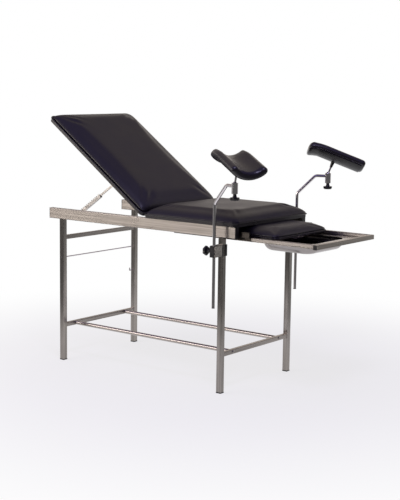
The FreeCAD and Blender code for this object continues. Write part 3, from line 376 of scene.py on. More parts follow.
def crowned_slab(name, box, margin, corner, lean_end):
    """Flat-bottomed cushion form whose edges slope up to a level top; lean_end sets one end back further."""
    (x0, y0, z0), (x1, y1, z1) = box
    tall = z1 - z0
    lip = 0.003
    rings = [(0.0, z0), (0.0, z0 + lip)]
    levels = 12
    for level in range(1, levels + 1):
        part = level / levels
        inset = margin * (1 - math.cos(part * math.pi / 2))
        rings.append((inset, z0 + lip + (tall - lip) * math.sin(part * math.pi / 2) ** 0.85))
    points = []
    for inset, z in rings:
        for px, py in rounded_outline(x0, x1, y0, y1, inset, corner):
            # only the end beside the hinge leans; the crown has already drawn in higher up
            from_hinge = x1 - px if lean_end > 0 else px - x0
            back = max(0.0, (z - z0) * END_LEAN - inset)
            if lean_end == 0 or from_hinge >= margin:
                back = 0.0
            points.append((px - lean_end * back, py, z))
    count = len(points) // len(rings)
    faces = [tuple(range(count))[::-1], tuple(range(len(points) - count, len(points)))]
    for ring in range(len(rings) - 1):
        for n in range(count):
            a, b = ring * count + n, ring * count + (n + 1) % count
            faces.append((a, b, b + count, a + count))
    return mesh_of(name, points, faces)


def pressed_foam(mesh, voxel, pressure, limit, held, floor_z, evening):
    """Presses the cover out over its foam with a cloth simulation; points where held(p) is true stay."""
    body = link(mesh, mesh.name)
    remesh = body.modifiers.new("Voxels", "REMESH")
    remesh.mode = "VOXEL"
    remesh.voxel_size = voxel
    solid = bpy.data.meshes.new_from_object(body.evaluated_get(bpy.context.evaluated_depsgraph_get()))
    bpy.data.objects.remove(body)
    relax(solid, evening)
    cover = link(solid, mesh.name)
    start = [v.co.copy() for v in solid.vertices]
    pins = cover.vertex_groups.new(name="held")
    pins.add([v.index for v in solid.vertices if held(v.co)], 1.0, "REPLACE")
    cloth = cover.modifiers.new("Cover", "CLOTH")
    cloth.settings.quality = 4
    cloth.settings.use_pressure = True
    cloth.settings.uniform_pressure_force = pressure
    cloth.settings.vertex_group_mass = "held"
    cloth.settings.effector_weights.gravity = 0.0
    cloth.settings.tension_stiffness = 25.0
    cloth.settings.compression_stiffness = 25.0
    cloth.settings.bending_stiffness = 1.5
    scene = bpy.context.scene
    for step in range(1, 21):
        scene.frame_set(step)
    swollen = cover.evaluated_get(bpy.context.evaluated_depsgraph_get()).to_mesh()
    moved = [v.co.copy() for v in swollen.vertices]
    cover.modifiers.remove(cloth)
    scene.frame_set(1)
    for vertex, was, now in zip(solid.vertices, start, moved):
        step = now - was
        if step.length > limit:
            step *= limit / step.length
        vertex.co = was + step
        vertex.co.z = max(vertex.co.z, floor_z)
    cover.vertex_groups.clear()
    relax(solid, evening, lambda p: p.z < floor_z + MM)
    return cover


def relax(mesh, times, held=None):
    """Evens out a mesh; points where held(p) is true stay."""
    shape = bmesh.new()
    shape.from_mesh(mesh)
    loose = [vertex for vertex in shape.verts if held is None or not held(vertex.co)]
    for _ in range(times):
        bmesh.ops.smooth_vert(shape, verts=loose, factor=0.5, use_axis_x=True, use_axis_y=True,
                              use_axis_z=True)
    shape.to_mesh(mesh)
    shape.free()


def pleat(mesh, corners, depth, reach, width):
    """Sews two short folds into each corner of a cover, running up from its lower edge."""
    for vertex in mesh.vertices:
        for centre, low in corners:
            offset = Vector((vertex.co.x - centre[0], vertex.co.y - centre[1]))
            rise = vertex.co.z - low
            if offset.length > 0.06 or rise > reach:
                continue
            outward = Vector((math.copysign(1, centre[2]), math.copysign(1, centre[3])))
            turn = math.atan2(offset.y * outward.y, offset.x * outward.x) - math.pi / 4
            for fold in (-0.42, 0.42):
                off_line = (turn - fold) * max(offset.length, 0.01)
                pull = depth * math.exp(-(off_line / width) ** 2) * (1 - rise / reach)
                direction = offset.normalized() if offset.length > 0 else Vector((0, 0))
                vertex.co.x -= direction.x * pull
                vertex.co.y -= direction.y * pull


def finish_cover(piece, name, material):
    """One smoothing subdivision applied, then smooth shading."""
    piece.name = name
    finer = piece.modifiers.new("Finer", "SUBSURF")
    finer.levels = finer.render_levels = 1
    smooth = bpy.data.meshes.new_from_object(piece.evaluated_get(bpy.context.evaluated_depsgraph_get()))
    piece.modifiers.clear()
    piece.data = smooth
    smooth.shade_smooth()
    dress(piece, material)
    return piece


def lifted():
    """Turns a flat backrest piece up to the angle that the struts hold it at."""
    return Matrix.Translation(HINGE) @ Matrix.Rotation(RAISED, 4, "Y") @ Matrix.Translation(-HINGE)


# ---------------------------------------------------------------- geometry node trees

def new_tree(name, inputs):
    """Geometry node group with a geometry input and named float, integer or material inputs."""
    tree = bpy.data.node_groups.new(name, "GeometryNodeTree")
    tree.interface.new_socket("Geometry", in_out="INPUT", socket_type="NodeSocketGeometry")
    kinds = {float: "NodeSocketFloat", int: "NodeSocketInt", bpy.types.Material: "NodeSocketMaterial",
             tuple: "NodeSocketVector"}
    for label, kind in inputs.items():
        tree.interface.new_socket(label, in_out="INPUT", socket_type=kinds[kind])
    tree.interface.new_socket("Geometry", in_out="OUTPUT", socket_type="NodeSocketGeometry")
    return tree, add(tree, "NodeGroupInput").outputs


def end_tree(tree, geometry, material):
    real = add(tree, "GeometryNodeRealizeInstances", {"Geometry": geometry})
    coated = add(tree, "GeometryNodeSetMaterial",
                 {"Geometry": real.outputs["Geometry"], "Material": material})
    add(tree, "NodeGroupOutput", {"Geometry": coated.outputs["Geometry"]})
    return tree


def math_node(tree, operation, first, second=0.0):
    return add(tree, "ShaderNodeMath", {0: first, 1: second}, operation=operation).outputs["Value"]


def star_grip_tree():
    """A rounded disc whose rim swells into finger lobes, built from one rolled-up grid."""
    tree, given = new_tree("Star grip", {"Radius": float, "Thickness": float, "Lobes": int, "Depth": float,
                                         "Taper": float, "Material": bpy.types.Material})
    grid = add(tree, "GeometryNodeMeshGrid",
               {"Size X": 1.0, "Size Y": 1.0, "Vertices X": 97, "Vertices Y": 29})
    spot = add(tree, "ShaderNodeSeparateXYZ", {"Vector": add(tree, "GeometryNodeInputPosition").outputs[0]})
    around = math_node(tree, "MULTIPLY", math_node(tree, "ADD", spot.outputs["X"], 0.5), 2 * math.pi)
    rise = math_node(tree, "MULTIPLY", math_node(tree, "ADD", spot.outputs["Y"], 0.5), math.pi)
    sine = math_node(tree, "MAXIMUM", math_node(tree, "SINE", rise), 0.0)
    cosine = math_node(tree, "COSINE", rise)
    reach = math_node(tree, "POWER", sine, 0.42)
    level = math_node(tree, "MULTIPLY", math_node(tree, "SIGN", cosine),
                      math_node(tree, "POWER", math_node(tree, "ABSOLUTE", cosine), 0.55))
    height = math_node(tree, "MULTIPLY", level, math_node(tree, "MULTIPLY", given["Thickness"], -0.5))
    wave = math_node(tree, "COSINE", math_node(tree, "MULTIPLY", around, given["Lobes"]))
    dip = math_node(tree, "MULTIPLY",
                    math_node(tree, "SUBTRACT", 0.5, math_node(tree, "MULTIPLY", wave, 0.5)),
                    given["Depth"])
    rim = math_node(tree, "SUBTRACT", 1.0,
                    math_node(tree, "MULTIPLY", dip, math_node(tree, "POWER", reach, 4.0)))
    taper = math_node(tree, "ADD", 1.0, math_node(tree, "MULTIPLY", math_node(tree, "MULTIPLY", level, -1.0),
                                                  given["Taper"]))
    radius = math_node(tree, "MULTIPLY", math_node(tree, "MULTIPLY", given["Radius"], reach),
                       math_node(tree, "MULTIPLY", rim, taper))
    place = add(tree, "ShaderNodeCombineXYZ", {
        "X": math_node(tree, "MULTIPLY", radius, math_node(tree, "COSINE", around)),
        "Y": math_node(tree, "MULTIPLY", radius, math_node(tree, "SINE", around)), "Z": height})
    rolled = add(tree, "GeometryNodeSetPosition", {"Geometry": grid.outputs["Mesh"],
                                                   "Position": place.outputs["Vector"]})
    closed = add(tree, "GeometryNodeMergeByDistance",
                 {"Geometry": rolled.outputs["Geometry"], "Distance": 0.00002})
    smooth = add(tree, "GeometryNodeSetShadeSmooth", {"Geometry": closed.outputs["Geometry"]})
    return end_tree(tree, smooth.outputs["Geometry"], given["Material"])


def screw_head_tree():
    """Cross-recess pan heads on every point of the base mesh, turned by the given angles."""
    tree, given = new_tree("Screw heads", {"Radius": float, "Height": float, "Turn": tuple,
                                           "Material": bpy.types.Material})
    dome = add(tree, "GeometryNodeMeshCone", {"Vertices": 28, "Side Segments": 1,
                                              "Radius Top": math_node(tree, "MULTIPLY", given["Radius"],
                                                                      0.78),
                                              "Radius Bottom": given["Radius"], "Depth": given["Height"]})
    slot_size = add(tree, "ShaderNodeCombineXYZ", {"X": math_node(tree, "MULTIPLY", given["Radius"], 1.1),
                                                   "Y": math_node(tree, "MULTIPLY", given["Radius"], 0.24),
                                                   "Z": given["Height"]})
    slot_cut = add(tree, "GeometryNodeMeshCube", {"Size": slot_size.outputs["Vector"]})
    up = add(tree, "ShaderNodeCombineXYZ", {"Z": given["Height"]})
    lengthwise = add(tree, "GeometryNodeTransform", {"Geometry": slot_cut.outputs["Mesh"],
                                                     "Translation": up.outputs["Vector"]})
    crosswise = add(tree, "GeometryNodeTransform", {"Geometry": lengthwise.outputs["Geometry"],
                                                    "Rotation": (0.0, 0.0, math.pi / 2)})
    recess = add(tree, "GeometryNodeJoinGeometry")
    tree.links.new(lengthwise.outputs["Geometry"], recess.inputs["Geometry"])
    tree.links.new(crosswise.outputs["Geometry"], recess.inputs["Geometry"])
    head = add(tree, "GeometryNodeMeshBoolean",
               {"Mesh 1": dome.outputs["Mesh"], "Mesh 2": recess.outputs["Geometry"]},
               operation="DIFFERENCE")
    placed = add(tree, "GeometryNodeInstanceOnPoints",
                 {"Points": given["Geometry"], "Instance": head.outputs["Mesh"],
                                                        "Rotation": given["Turn"]})
    return end_tree(tree, placed.outputs["Instances"], given["Material"])


def weld_tree():
    """Overlapping ripples along every edge of the base mesh, as a hand-laid TIG bead leaves."""
    tree, given = new_tree("Weld bead", {"Radius": float, "Pitch": float, "Material": bpy.types.Material})
    path = add(tree, "GeometryNodeMeshToCurve", {"Mesh": given["Geometry"]})
    steps = add(tree, "GeometryNodeResampleCurve", {"Curve": path.outputs["Curve"], "Length": given["Pitch"]},
                mode="LENGTH")
    ripple = add(tree, "GeometryNodeMeshUVSphere", {"Segments": 10, "Rings": 6, "Radius": given["Radius"]})
    soft = add(tree, "GeometryNodeSetShadeSmooth", {"Geometry": ripple.outputs["Mesh"]})
    uneven = add(tree, "FunctionNodeRandomValue", {2: 0.8, 3: 1.15, "Seed": 4}, data_type="FLOAT")
    beads = add(tree, "GeometryNodeInstanceOnPoints", {"Points": steps.outputs["Curve"],
                                                       "Instance": soft.outputs["Geometry"],
                                                       "Scale": uneven.outputs[1]})
    return end_tree(tree, beads.outputs["Instances"], given["Material"])


def edge_roll_tree():
    """A thin roll of cover that follows every closed path of the base mesh."""
    tree, given = new_tree("Edge roll", {"Radius": float, "Material": bpy.types.Material})
    path = add(tree, "GeometryNodeMeshToCurve", {"Mesh": given["Geometry"]})
    section = add(tree, "GeometryNodeCurvePrimitiveCircle", {"Resolution": 12, "Radius": given["Radius"]})
    roll = add(tree, "GeometryNodeCurveToMesh", {"Curve": path.outputs["Curve"],
                                                 "Profile Curve": section.outputs["Curve"]})
    smooth = add(tree, "GeometryNodeSetShadeSmooth", {"Geometry": roll.outputs["Mesh"]})
    return end_tree(tree, smooth.outputs["Geometry"], given["Material"])


def staple_tree():
    """Wire staples at even steps along the base mesh's paths, crown along the path."""
    tree, given = new_tree("Staples", {"Pitch": float, "Crown": float, "Wire": float,
                                       "Material": bpy.types.Material})
    path = add(tree, "GeometryNodeMeshToCurve", {"Mesh": given["Geometry"]})
    steps = add(tree, "GeometryNodeResampleCurve", {"Curve": path.outputs["Curve"], "Length": given["Pitch"]},
                mode="LENGTH")
    size = add(tree, "ShaderNodeCombineXYZ", {"X": given["Crown"], "Y": given["Wire"], "Z": given["Wire"]})
    wire = add(tree, "GeometryNodeMeshCube", {"Size": size.outputs["Vector"]})
    tangent = add(tree, "GeometryNodeInputTangent")
    turned = add(tree, "FunctionNodeAlignRotationToVector", {"Vector": tangent.outputs["Tangent"]}, axis="X")
    staples = add(tree, "GeometryNodeInstanceOnPoints", {"Points": steps.outputs["Curve"],
                                                         "Instance": wire.outputs["Mesh"],
                                                         "Rotation": turned.outputs["Rotation"]})
    return end_tree(tree, staples.outputs["Instances"], given["Material"])


def grow(name, tree, base, values, matrix=None):
    """Runs a node tree on a base mesh and keeps the result as a plain mesh object."""
    seed = link(base, name + "_base")
    modifier = seed.modifiers.new("Tree", "NODES")
    modifier.node_group = tree
    for item in tree.interface.items_tree:
        if item.in_out == "INPUT" and item.name in values:
            modifier[item.identifier] = values[item.name]
    mesh = bpy.data.meshes.new_from_object(seed.evaluated_get(bpy.context.evaluated_depsgraph_get()))
    bpy.data.objects.remove(seed)
    if matrix is not None:
        mesh.transform(matrix)
    mesh.name = name
    return link(mesh, name)


def turned(name, profile, steps=40):
    """Closed turned solid from (radius, height) pairs, starting and ending on the axis."""
    points, faces = [], []
    for radius, height in profile:
        for step in range(steps):
            turn = 2 * math.pi * step / steps
            points.append((radius * math.cos(turn), radius * math.sin(turn), height))
    for ring in range(len(profile) - 1):
        for n in range(steps):
            a, b = ring * steps + n, ring * steps + (n + 1) % steps
            faces.append((a, b, b + steps, a + steps))
    mesh = mesh_of(name, points, faces)
    shape = bmesh.new()
    shape.from_mesh(mesh)
    bmesh.ops.remove_doubles(shape, verts=shape.verts, dist=1e-6)
    bmesh.ops.recalc_face_normals(shape, faces=shape.faces)
    shape.to_mesh(mesh)
    shape.free()
    mesh.shade_smooth()
    mesh.set_sharp_from_angle(angle=math.radians(40))
    return mesh


def joined(name, pieces):
    """Joins plain mesh objects into one."""
    shape = bmesh.new()
    for piece in pieces:
        shape.from_mesh(piece.data)
    mesh = bpy.data.meshes.new(name)
    shape.to_mesh(mesh)
    shape.free()
    for piece in pieces:
        bpy.data.objects.remove(piece)
    return link(mesh, name)


# ---------------------------------------------------------------- finishes

FINISH = {}


def make_finishes(scene):
    steel, cover = scene.table_steel, scene.table_upholstery
    for grain in "XYZ":
        FINISH["tube_" + grain] = brushed_stainless("Brushed stainless " + grain, grain, steel.tube,
                                                    steel.roughness)
    FINISH["round"] = plated_steel("Polished stainless tube", "#b3aca6", 0.2, 12)
    FINISH["sheet"] = brushed_stainless("Rolled stainless sheet", "X", "#d2cbc4", 0.2)
    # painted shade: the guides sit in the shade under the seat, so their sheet is painted dark for that shade
    FINISH["shade_dark_guide_sheet"] = brushed_stainless("Guide sheet painted dark for shade", "X", "#45413d", 0.36)
    FINISH["tray"] = plated_steel("Pressed stainless tray", "#aaa5a2", 0.17, 30)
    FINISH["chrome"] = plated_steel("Chrome plate", "#e4dfe0", 0.09, 25)
    FINISH["zinc"] = plated_steel("Bright zinc plate", "#c8c4c0", 0.3, 8)
    FINISH["weld"] = plated_steel("Pickled weld", "#a39b93", 0.36, 3)
    # hide grain is about 1 mm across; it is drawn at 2.2 mm so that it shows close up
    FINISH["vinyl"] = coated_vinyl("Black coated vinyl", cover.vinyl, 2.2, 0.42)
    FINISH["gloss_vinyl"] = coated_vinyl("Black gloss vinyl", "#1b181d", 2.2, 0.3)
    FINISH["nylon"] = moulded_plastic("Black nylon moulding", "#131215", 0.8, 0.36)
    FINISH["cap"] = moulded_plastic("Black polythene plug", "#0f0f11", 1.2, 0.5)
    FINISH["staple"] = plated_steel("Staple wire", "#6f6b68", 0.38, 4)


NODE_FINISH = {
    "rail_near": "tube_X", "rail_far": "tube_X", "rail_end_caps": "cap",
    "leg_head_near": "tube_Z", "leg_head_far": "tube_Z", "leg_foot_near": "tube_Z", "leg_foot_far": "tube_Z",
    "feet": "cap", "head_bar_upper": "tube_Y", "head_bar_lower": "tube_Y", "foot_bar_lower": "tube_Y",
    "stretcher_near": "round", "stretcher_far": "round", "stretcher_screws": "zinc",
    "paper_tear_rod": "chrome", "side_hook": "chrome",
    "seat_board": "vinyl", "backrest_board": "vinyl", "leg_board": "vinyl",
    "slide_guide_near": "shade_dark_guide_sheet", "slide_guide_far": "shade_dark_guide_sheet",
    "foot_side_bar_near": "tube_X", "foot_side_bar_far": "tube_X", "foot_end_bar": "tube_Y",
    "foot_end_plugs": "cap", "foot_cross_ties": "tube_Y", "tray_runners": "sheet", "catch_tray": "tray",
    "hinge_leaves_seat": "zinc", "hinge_leaves_backrest": "zinc", "hinge_pins": "zinc",
    "strut_rail_pivots": "zinc", "strut_lugs": "zinc", "strut_bar_near": "zinc", "strut_bar_far": "zinc",
    "strut_channel_near": "zinc", "strut_channel_far": "zinc",
    "clamp_body_near": "nylon", "clamp_body_far": "nylon", "clamp_plates": "sheet",
    "post_tip_near": "cap", "post_tip_far": "cap", "crutch_post_near": "chrome", "crutch_post_far": "chrome",
    "ball_cup_near": "zinc", "ball_cup_far": "zinc", "ball_stud_near": "chrome", "ball_stud_far": "chrome",
    "crutch_shell_near": "nylon", "crutch_shell_far": "nylon",
}


# ---------------------------------------------------------------- operators

class TABLE_OT_frame_finishes(bpy.types.Operator):
    """Makes the finishes and gives every hard part of the frame its own"""
    bl_idname = "table.frame_finishes"
    bl_label = "Frame finishes"

    def execute(self, context):
        make_finishes(context.scene)
        for name, finish in NODE_FINISH.items():
            part = frame["nodes"][name]
            for holder in part.material_slots:
                holder.material = FINISH[finish]
        return {"FINISHED"}


class TABLE_OT_flat_cushions(bpy.types.Operator):
    """Presses the seat, back and leg cushions and rolls the cover's lower edge"""
    bl_idname = "table.flat_cushions"
    bl_label = "Seat, back and leg cushions"

    def execute(self, context):
        cover = context.scene.table_upholstery
        seat_low, seat_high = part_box("seat_cushion")
        leg_low, leg_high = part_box("leg_cushion")
        back_low = Vector((HINGE.x - BACK_FAR_END, seat_low.y, HINGE.z + BACK_UNDER))
        back_high = Vector((HINGE.x - BACK_NEAR_END, seat_high.y, HINGE.z + BACK_TOP))
        jobs = (
            ("seat_cover", "seat_cushion", "stand", seat_low, seat_high, cover.seat_margin, -1, cover.voxel,
             0.9),
            ("back_cover", "backrest_cushion", "backrest", back_low, back_high, cover.seat_margin, 1,
             cover.voxel * 1.15, 0.9),
            ("leg_cover", "leg_cushion", "foot_section", leg_low, leg_high, cover.leg_margin, 0,
             cover.voxel, 0.85),
        )
        outlines = {}
        for name, node, body, low, high, margin, lean_end, voxel, fill in jobs:
            top = high - Vector((0, 0, cover.headroom))
            form = crowned_slab(name, (low, top), margin, cover.corner, lean_end)
            held_height = low.z + cover.held_edge
            piece = pressed_foam(form, voxel, cover.pressure, cover.puff, lambda p: p.z < held_height,
                                 low.z, 5)
            corners = [((x, y, sx, sy), low.z) for x,
                       sx in ((low.x + cover.corner, -1), (high.x - cover.corner, 1))
                       for y, sy in ((low.y + cover.corner, -1), (high.y - cover.corner, 1))]
            pleat(piece.data, corners, cover.fold_depth, cover.fold_reach, cover.fold_width)
            finish_cover(piece, name, FINISH["vinyl"])
            outlines[name] = rounded_outline(low.x, high.x, low.y, high.y, 0.0015,
                                             cover.corner), low.z + 0.0005, body
            if body == "backrest":
                piece.data.transform(lifted())
            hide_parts(node)
            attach(piece, body)
        roll = edge_roll_tree()
        for name, (outline, level, body) in outlines.items():
            points = [(x, y, level) for x, y in outline]
            edges = [(n, (n + 1) % len(points)) for n in range(len(points))]
            piece = grow(name + "_edge", roll, mesh_of(name, points, edges=edges),
                         {"Radius": cover.roll, "Material": FINISH["gloss_vinyl"]},
                         lifted() if body == "backrest" else None)
            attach(piece, body)
        return {"FINISHED"}


def crutch_frame(context, side):
    """Turn and place of a crutch: local X along the leg, Z away from the ball, origin on the ball."""
    crutch = context.scene.table_crutch
    turn = crutch.near_turn if side == "near" else crutch.far_turn
    ball = Vector(JOINTS["crutch_%s_tilt" % side]["pos_m"])
    return Matrix.Translation(ball) @ Euler(turn, "XYZ").to_matrix().to_4x4()


def gutter_form(crutch, corner, edge):
    """Rounded slab bent about the gutter's axis; the origin is on the ball below it."""
    middle = crutch.bend + crutch.thick / 2
    half = Vector((crutch.length / 2 + 0.003, middle * crutch.arc / 2 + 0.004, crutch.thick / 2))
    shape = bmesh.new()
    bmesh.ops.create_cube(shape, size=2.0)
    bmesh.ops.subdivide_edges(shape, edges=shape.edges[:], cuts=47, use_grid_fill=True)
    axis_height = crutch.seat + crutch.shell + crutch.thick + crutch.bend
    for vertex in shape.verts:
        spot = Vector([vertex.co[n] * half[n] for n in range(3)])
        core = Vector([max(-half[n] + edge, min(half[n] - edge, spot[n])) for n in range(3)])
        out = spot - core
        if out.length > 0:
            spot = core + out.normalized() * edge
        over = Vector((abs(spot.x) - (half.x - corner), abs(spot.y) - (half.y - corner)))
        if over.x > 0 and over.y > 0:
            over *= max(over) / over.length
            spot.x = math.copysign(half.x - corner + over.x, spot.x)
            spot.y = math.copysign(half.y - corner + over.y, spot.y)
        turn = spot.y / middle
        radius = crutch.bend + crutch.thick / 2 - spot.z
        rolled = max(0.0, (crutch.curl_start - half.x - spot.x) / crutch.curl_start)
        # the outer face rolls further than the inner one, so the end is thicker
        drop = 0.65 - 0.35 * spot.z / half.z
        vertex.co = (spot.x + crutch.shift, radius * math.sin(turn),
                     axis_height - radius * math.cos(turn) - crutch.curl * rolled ** 2 * drop)
    mesh = bpy.data.meshes.new("gutter")
    shape.to_mesh(mesh)
    shape.free()
    return mesh


class TABLE_OT_crutch_cushions(bpy.types.Operator):
    """Presses the two gutter-shaped knee cushions"""
    bl_idname = "table.crutch_cushions"
    bl_label = "Knee crutch cushions"

    def execute(self, context):
        crutch = context.scene.table_crutch
        cover = context.scene.table_upholstery
        axis_height = crutch.seat + crutch.shell + crutch.thick + crutch.bend
        outer = crutch.bend + crutch.thick
        for side in SIDES:
            form = gutter_form(crutch, 0.011, 0.0135)
            piece = pressed_foam(form, 0.0036, cover.pressure, 0.003,
                                 lambda p: math.hypot(p.y, p.z - axis_height) > outer - 0.006, -1.0, 2)
            finish_cover(piece, "crutch_cover_" + side, FINISH["gloss_vinyl"])
            piece.data.transform(crutch_frame(context, side))
            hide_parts("crutch_cushion_" + side)
            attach(piece, "crutch_" + side)
        return {"FINISHED"}


class TABLE_OT_grips(bpy.types.Operator):
    """Makes the lobed clamp and lock grips with their hubs and screws"""
    bl_idname = "table.grips"
    bl_label = "Grips"

    def execute(self, context):
        grip = context.scene.table_grip
        tree = star_grip_tree()
        for side in SIDES:
            low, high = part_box("clamp_knob_" + side)
            axis = Vector(JOINTS["clamp_knob_%s_turn" % side]["pos_m"])
            thick = 0.0150
            head = Matrix.Translation((low.x + thick / 2, axis.y,
                                       axis.z)) @ Matrix.Rotation(math.radians(90), 4, "Y")
            star = grow("clamp_star", tree, mesh_of("seed", [(0, 0, 0)]), {
                "Radius": grip.clamp_radius, "Thickness": thick, "Lobes": grip.lobes, "Depth": grip.depth,
                "Taper": 0.0, "Material": FINISH["nylon"]}, head)
            profile = [(0, 0), (0.0085, 0), (0.0076, 0.004), (0.0063, 0.010), (0.0063, 0.0206),
                       (0.0058, 0.0212),
                       (0.004, 0.0212), (0.004, high.x - low.x - thick + 0.001),
                       (0, high.x - low.x - thick + 0.001)]
            hub_mesh = turned("clamp_hub", profile)
            hub_mesh.transform(Matrix.Translation((low.x + thick - 0.001, axis.y, axis.z))
                               @ Matrix.Rotation(math.radians(90), 4, "Y"))
            piece = joined("clamp_grip_" + side, [star, link(hub_mesh, "clamp_hub")])
            self.hand_over(piece, "clamp_knob_" + side, "clamp_knob_" + side)

            low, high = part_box("lock_knob_" + side)
            axis = Vector(JOINTS["lock_knob_%s_turn" % side]["pos_m"])
            head = Matrix.Translation((axis.x, axis.y, low.z + 0.007))
            star = grow("lock_star", tree, mesh_of("seed", [(0, 0, 0)]), {
                "Radius": grip.lock_radius * 0.96, "Thickness": 0.014, "Lobes": grip.lobes,
                "Depth": grip.depth,
                "Taper": 0.1, "Material": FINISH["nylon"]}, head)
            tall = high.z - low.z
            profile = [(0, 0.012), (0.011, 0.012), (0.0092, 0.016), (0.0076, 0.0215), (0.0073, 0.0290),
                       (0.0099, 0.0296), (0.0099, tall), (0, tall)]
            hub_mesh = turned("lock_hub", profile)
            hub_mesh.transform(Matrix.Translation((axis.x, axis.y, low.z)))
            piece = joined("lock_grip_" + side, [star, link(hub_mesh, "lock_hub")])
            self.hand_over(piece, "lock_knob_" + side, "lock_knob_" + side)
        return {"FINISHED"}

    @staticmethod
    def hand_over(piece, node, body):
        dress(piece, FINISH["nylon"])
        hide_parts(node)
        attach(piece, body)


class TABLE_OT_fastenings(bpy.types.Operator):
    """Lays the weld beads, hinge screws, stretcher screw heads and cover staples"""
    bl_idname = "table.fastenings"
    bl_label = "Welds, screws and staples"

    def execute(self, context):
        steel = context.scene.table_steel
        self.welds(steel)
        heads = screw_head_tree()
        self.stretcher_heads(heads)
        self.leaf_screws(heads, steel)
        self.staples()
        return {"FINISHED"}

    @staticmethod
    def welds(steel):
        """Beads across the two open faces of each leg top and round the ends of the cross bars."""
        points, edges = [], []

        def run(*spots):
            first = len(points)
            points.extend(spots)
            edges.extend((first + n, first + n + 1) for n in range(len(spots) - 1))

        for end in ("head", "foot"):
            for side in SIDES:
                low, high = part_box("leg_%s_%s" % (end, side))
                for x in (low.x, high.x):
                    run((x, low.y + 0.002, high.z), (x, high.y - 0.002, high.z))
        for bar in ("head_bar_upper", "head_bar_lower", "foot_bar_lower"):
            low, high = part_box(bar)
            for y in (low.y, high.y):
                run((low.x, y, low.z), (high.x, y, low.z), (high.x, y, high.z), (low.x, y, high.z),
                    (low.x, y, low.z))
        piece = grow("weld_beads", weld_tree(), mesh_of("weld_lines", points, edges=edges),
                     {"Radius": steel.bead, "Pitch": 0.0016, "Material": FINISH["weld"]})
        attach(piece, "stand")

    @staticmethod
    def stretcher_heads(tree):
        """Recessed heads over the plain screw ends on the outer faces of the low cross bars."""
        pieces = []
        for bar, out in (("head_bar_lower", -1), ("foot_bar_lower", 1)):
            low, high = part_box(bar)
            face = high.x if out > 0 else low.x
            points = []
            for side in SIDES:
                s_low, s_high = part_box("stretcher_" + side)
                points.append((face + out * 0.0018, (s_low.y + s_high.y) / 2, (s_low.z + s_high.z) / 2))
            pieces.append(grow("heads", tree, mesh_of("spots", points), {
                "Radius": 0.0062, "Height": 0.0036, "Turn": (0.0, out * math.pi / 2, 0.0),
                "Material": FINISH["zinc"]}))
        piece = joined("stretcher_screw_heads", pieces)
        dress(piece, FINISH["zinc"])
        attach(piece, "stand")

    @staticmethod
    def leaf_screws(tree, steel):
        """Three screws through each hinge leaf, seen from below."""
        middles = [HINGE.y - 0.150, HINGE.y + 0.150]
        flat = [(offset, y + step) for y in middles for offset, step in ((0.020, -0.020), (0.033, 0.0),
                                                                        (0.020, 0.020))]
        seat_points = [(HINGE.x + offset, y, HINGE.z - 0.0006) for offset, y in flat]
        piece = grow("seat_leaf_screws", tree, mesh_of("spots", seat_points), {
            "Radius": steel.screw, "Height": 0.0016, "Turn": (math.pi, 0.0, 0.0), "Material": FINISH["zinc"]})
        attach(piece, "stand")
        back_points = [(HINGE.x - offset, y, HINGE.z - 0.0002) for offset, y in flat]
        piece = grow("back_leaf_screws", tree, mesh_of("spots", back_points), {
            "Radius": steel.screw, "Height": 0.0016, "Turn": (math.pi, 0.0, 0.0), "Material": FINISH["zinc"]},
            lifted())
        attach(piece, "backrest")

    @staticmethod
    def staples():
        """Staples that hold the cover's hem to the underside of the backrest board."""
        low = Vector((HINGE.x - BOARD_FAR_END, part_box("seat_board")[0].y, 0))
        high = Vector((HINGE.x - BACK_NEAR_END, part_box("seat_board")[1].y, 0))
        # the hem ends inside the rails, so that the board can lie flat on them
        outline = rounded_outline(low.x, high.x, low.y, high.y, 0.042, 0.050)
        level = HINGE.z + BOARD_UNDER
        head_end = [(x, y) for x, y in outline if x < (low.x + high.x) / 2]
        hinge_end = HINGE.x - 0.060
        chain = [(hinge_end, head_end[0][1])] + head_end + [(hinge_end, head_end[-1][1])]
        points = [(x, y, level) for x, y in chain]
        edges = [(n, n + 1) for n in range(len(points) - 1)]
        piece = grow("back_staples", staple_tree(), mesh_of("hem", points, edges=edges), {
            "Pitch": 0.032, "Crown": 0.008, "Wire": 0.0005, "Material": FINISH["staple"]}, lifted())
        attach(piece, "backrest")


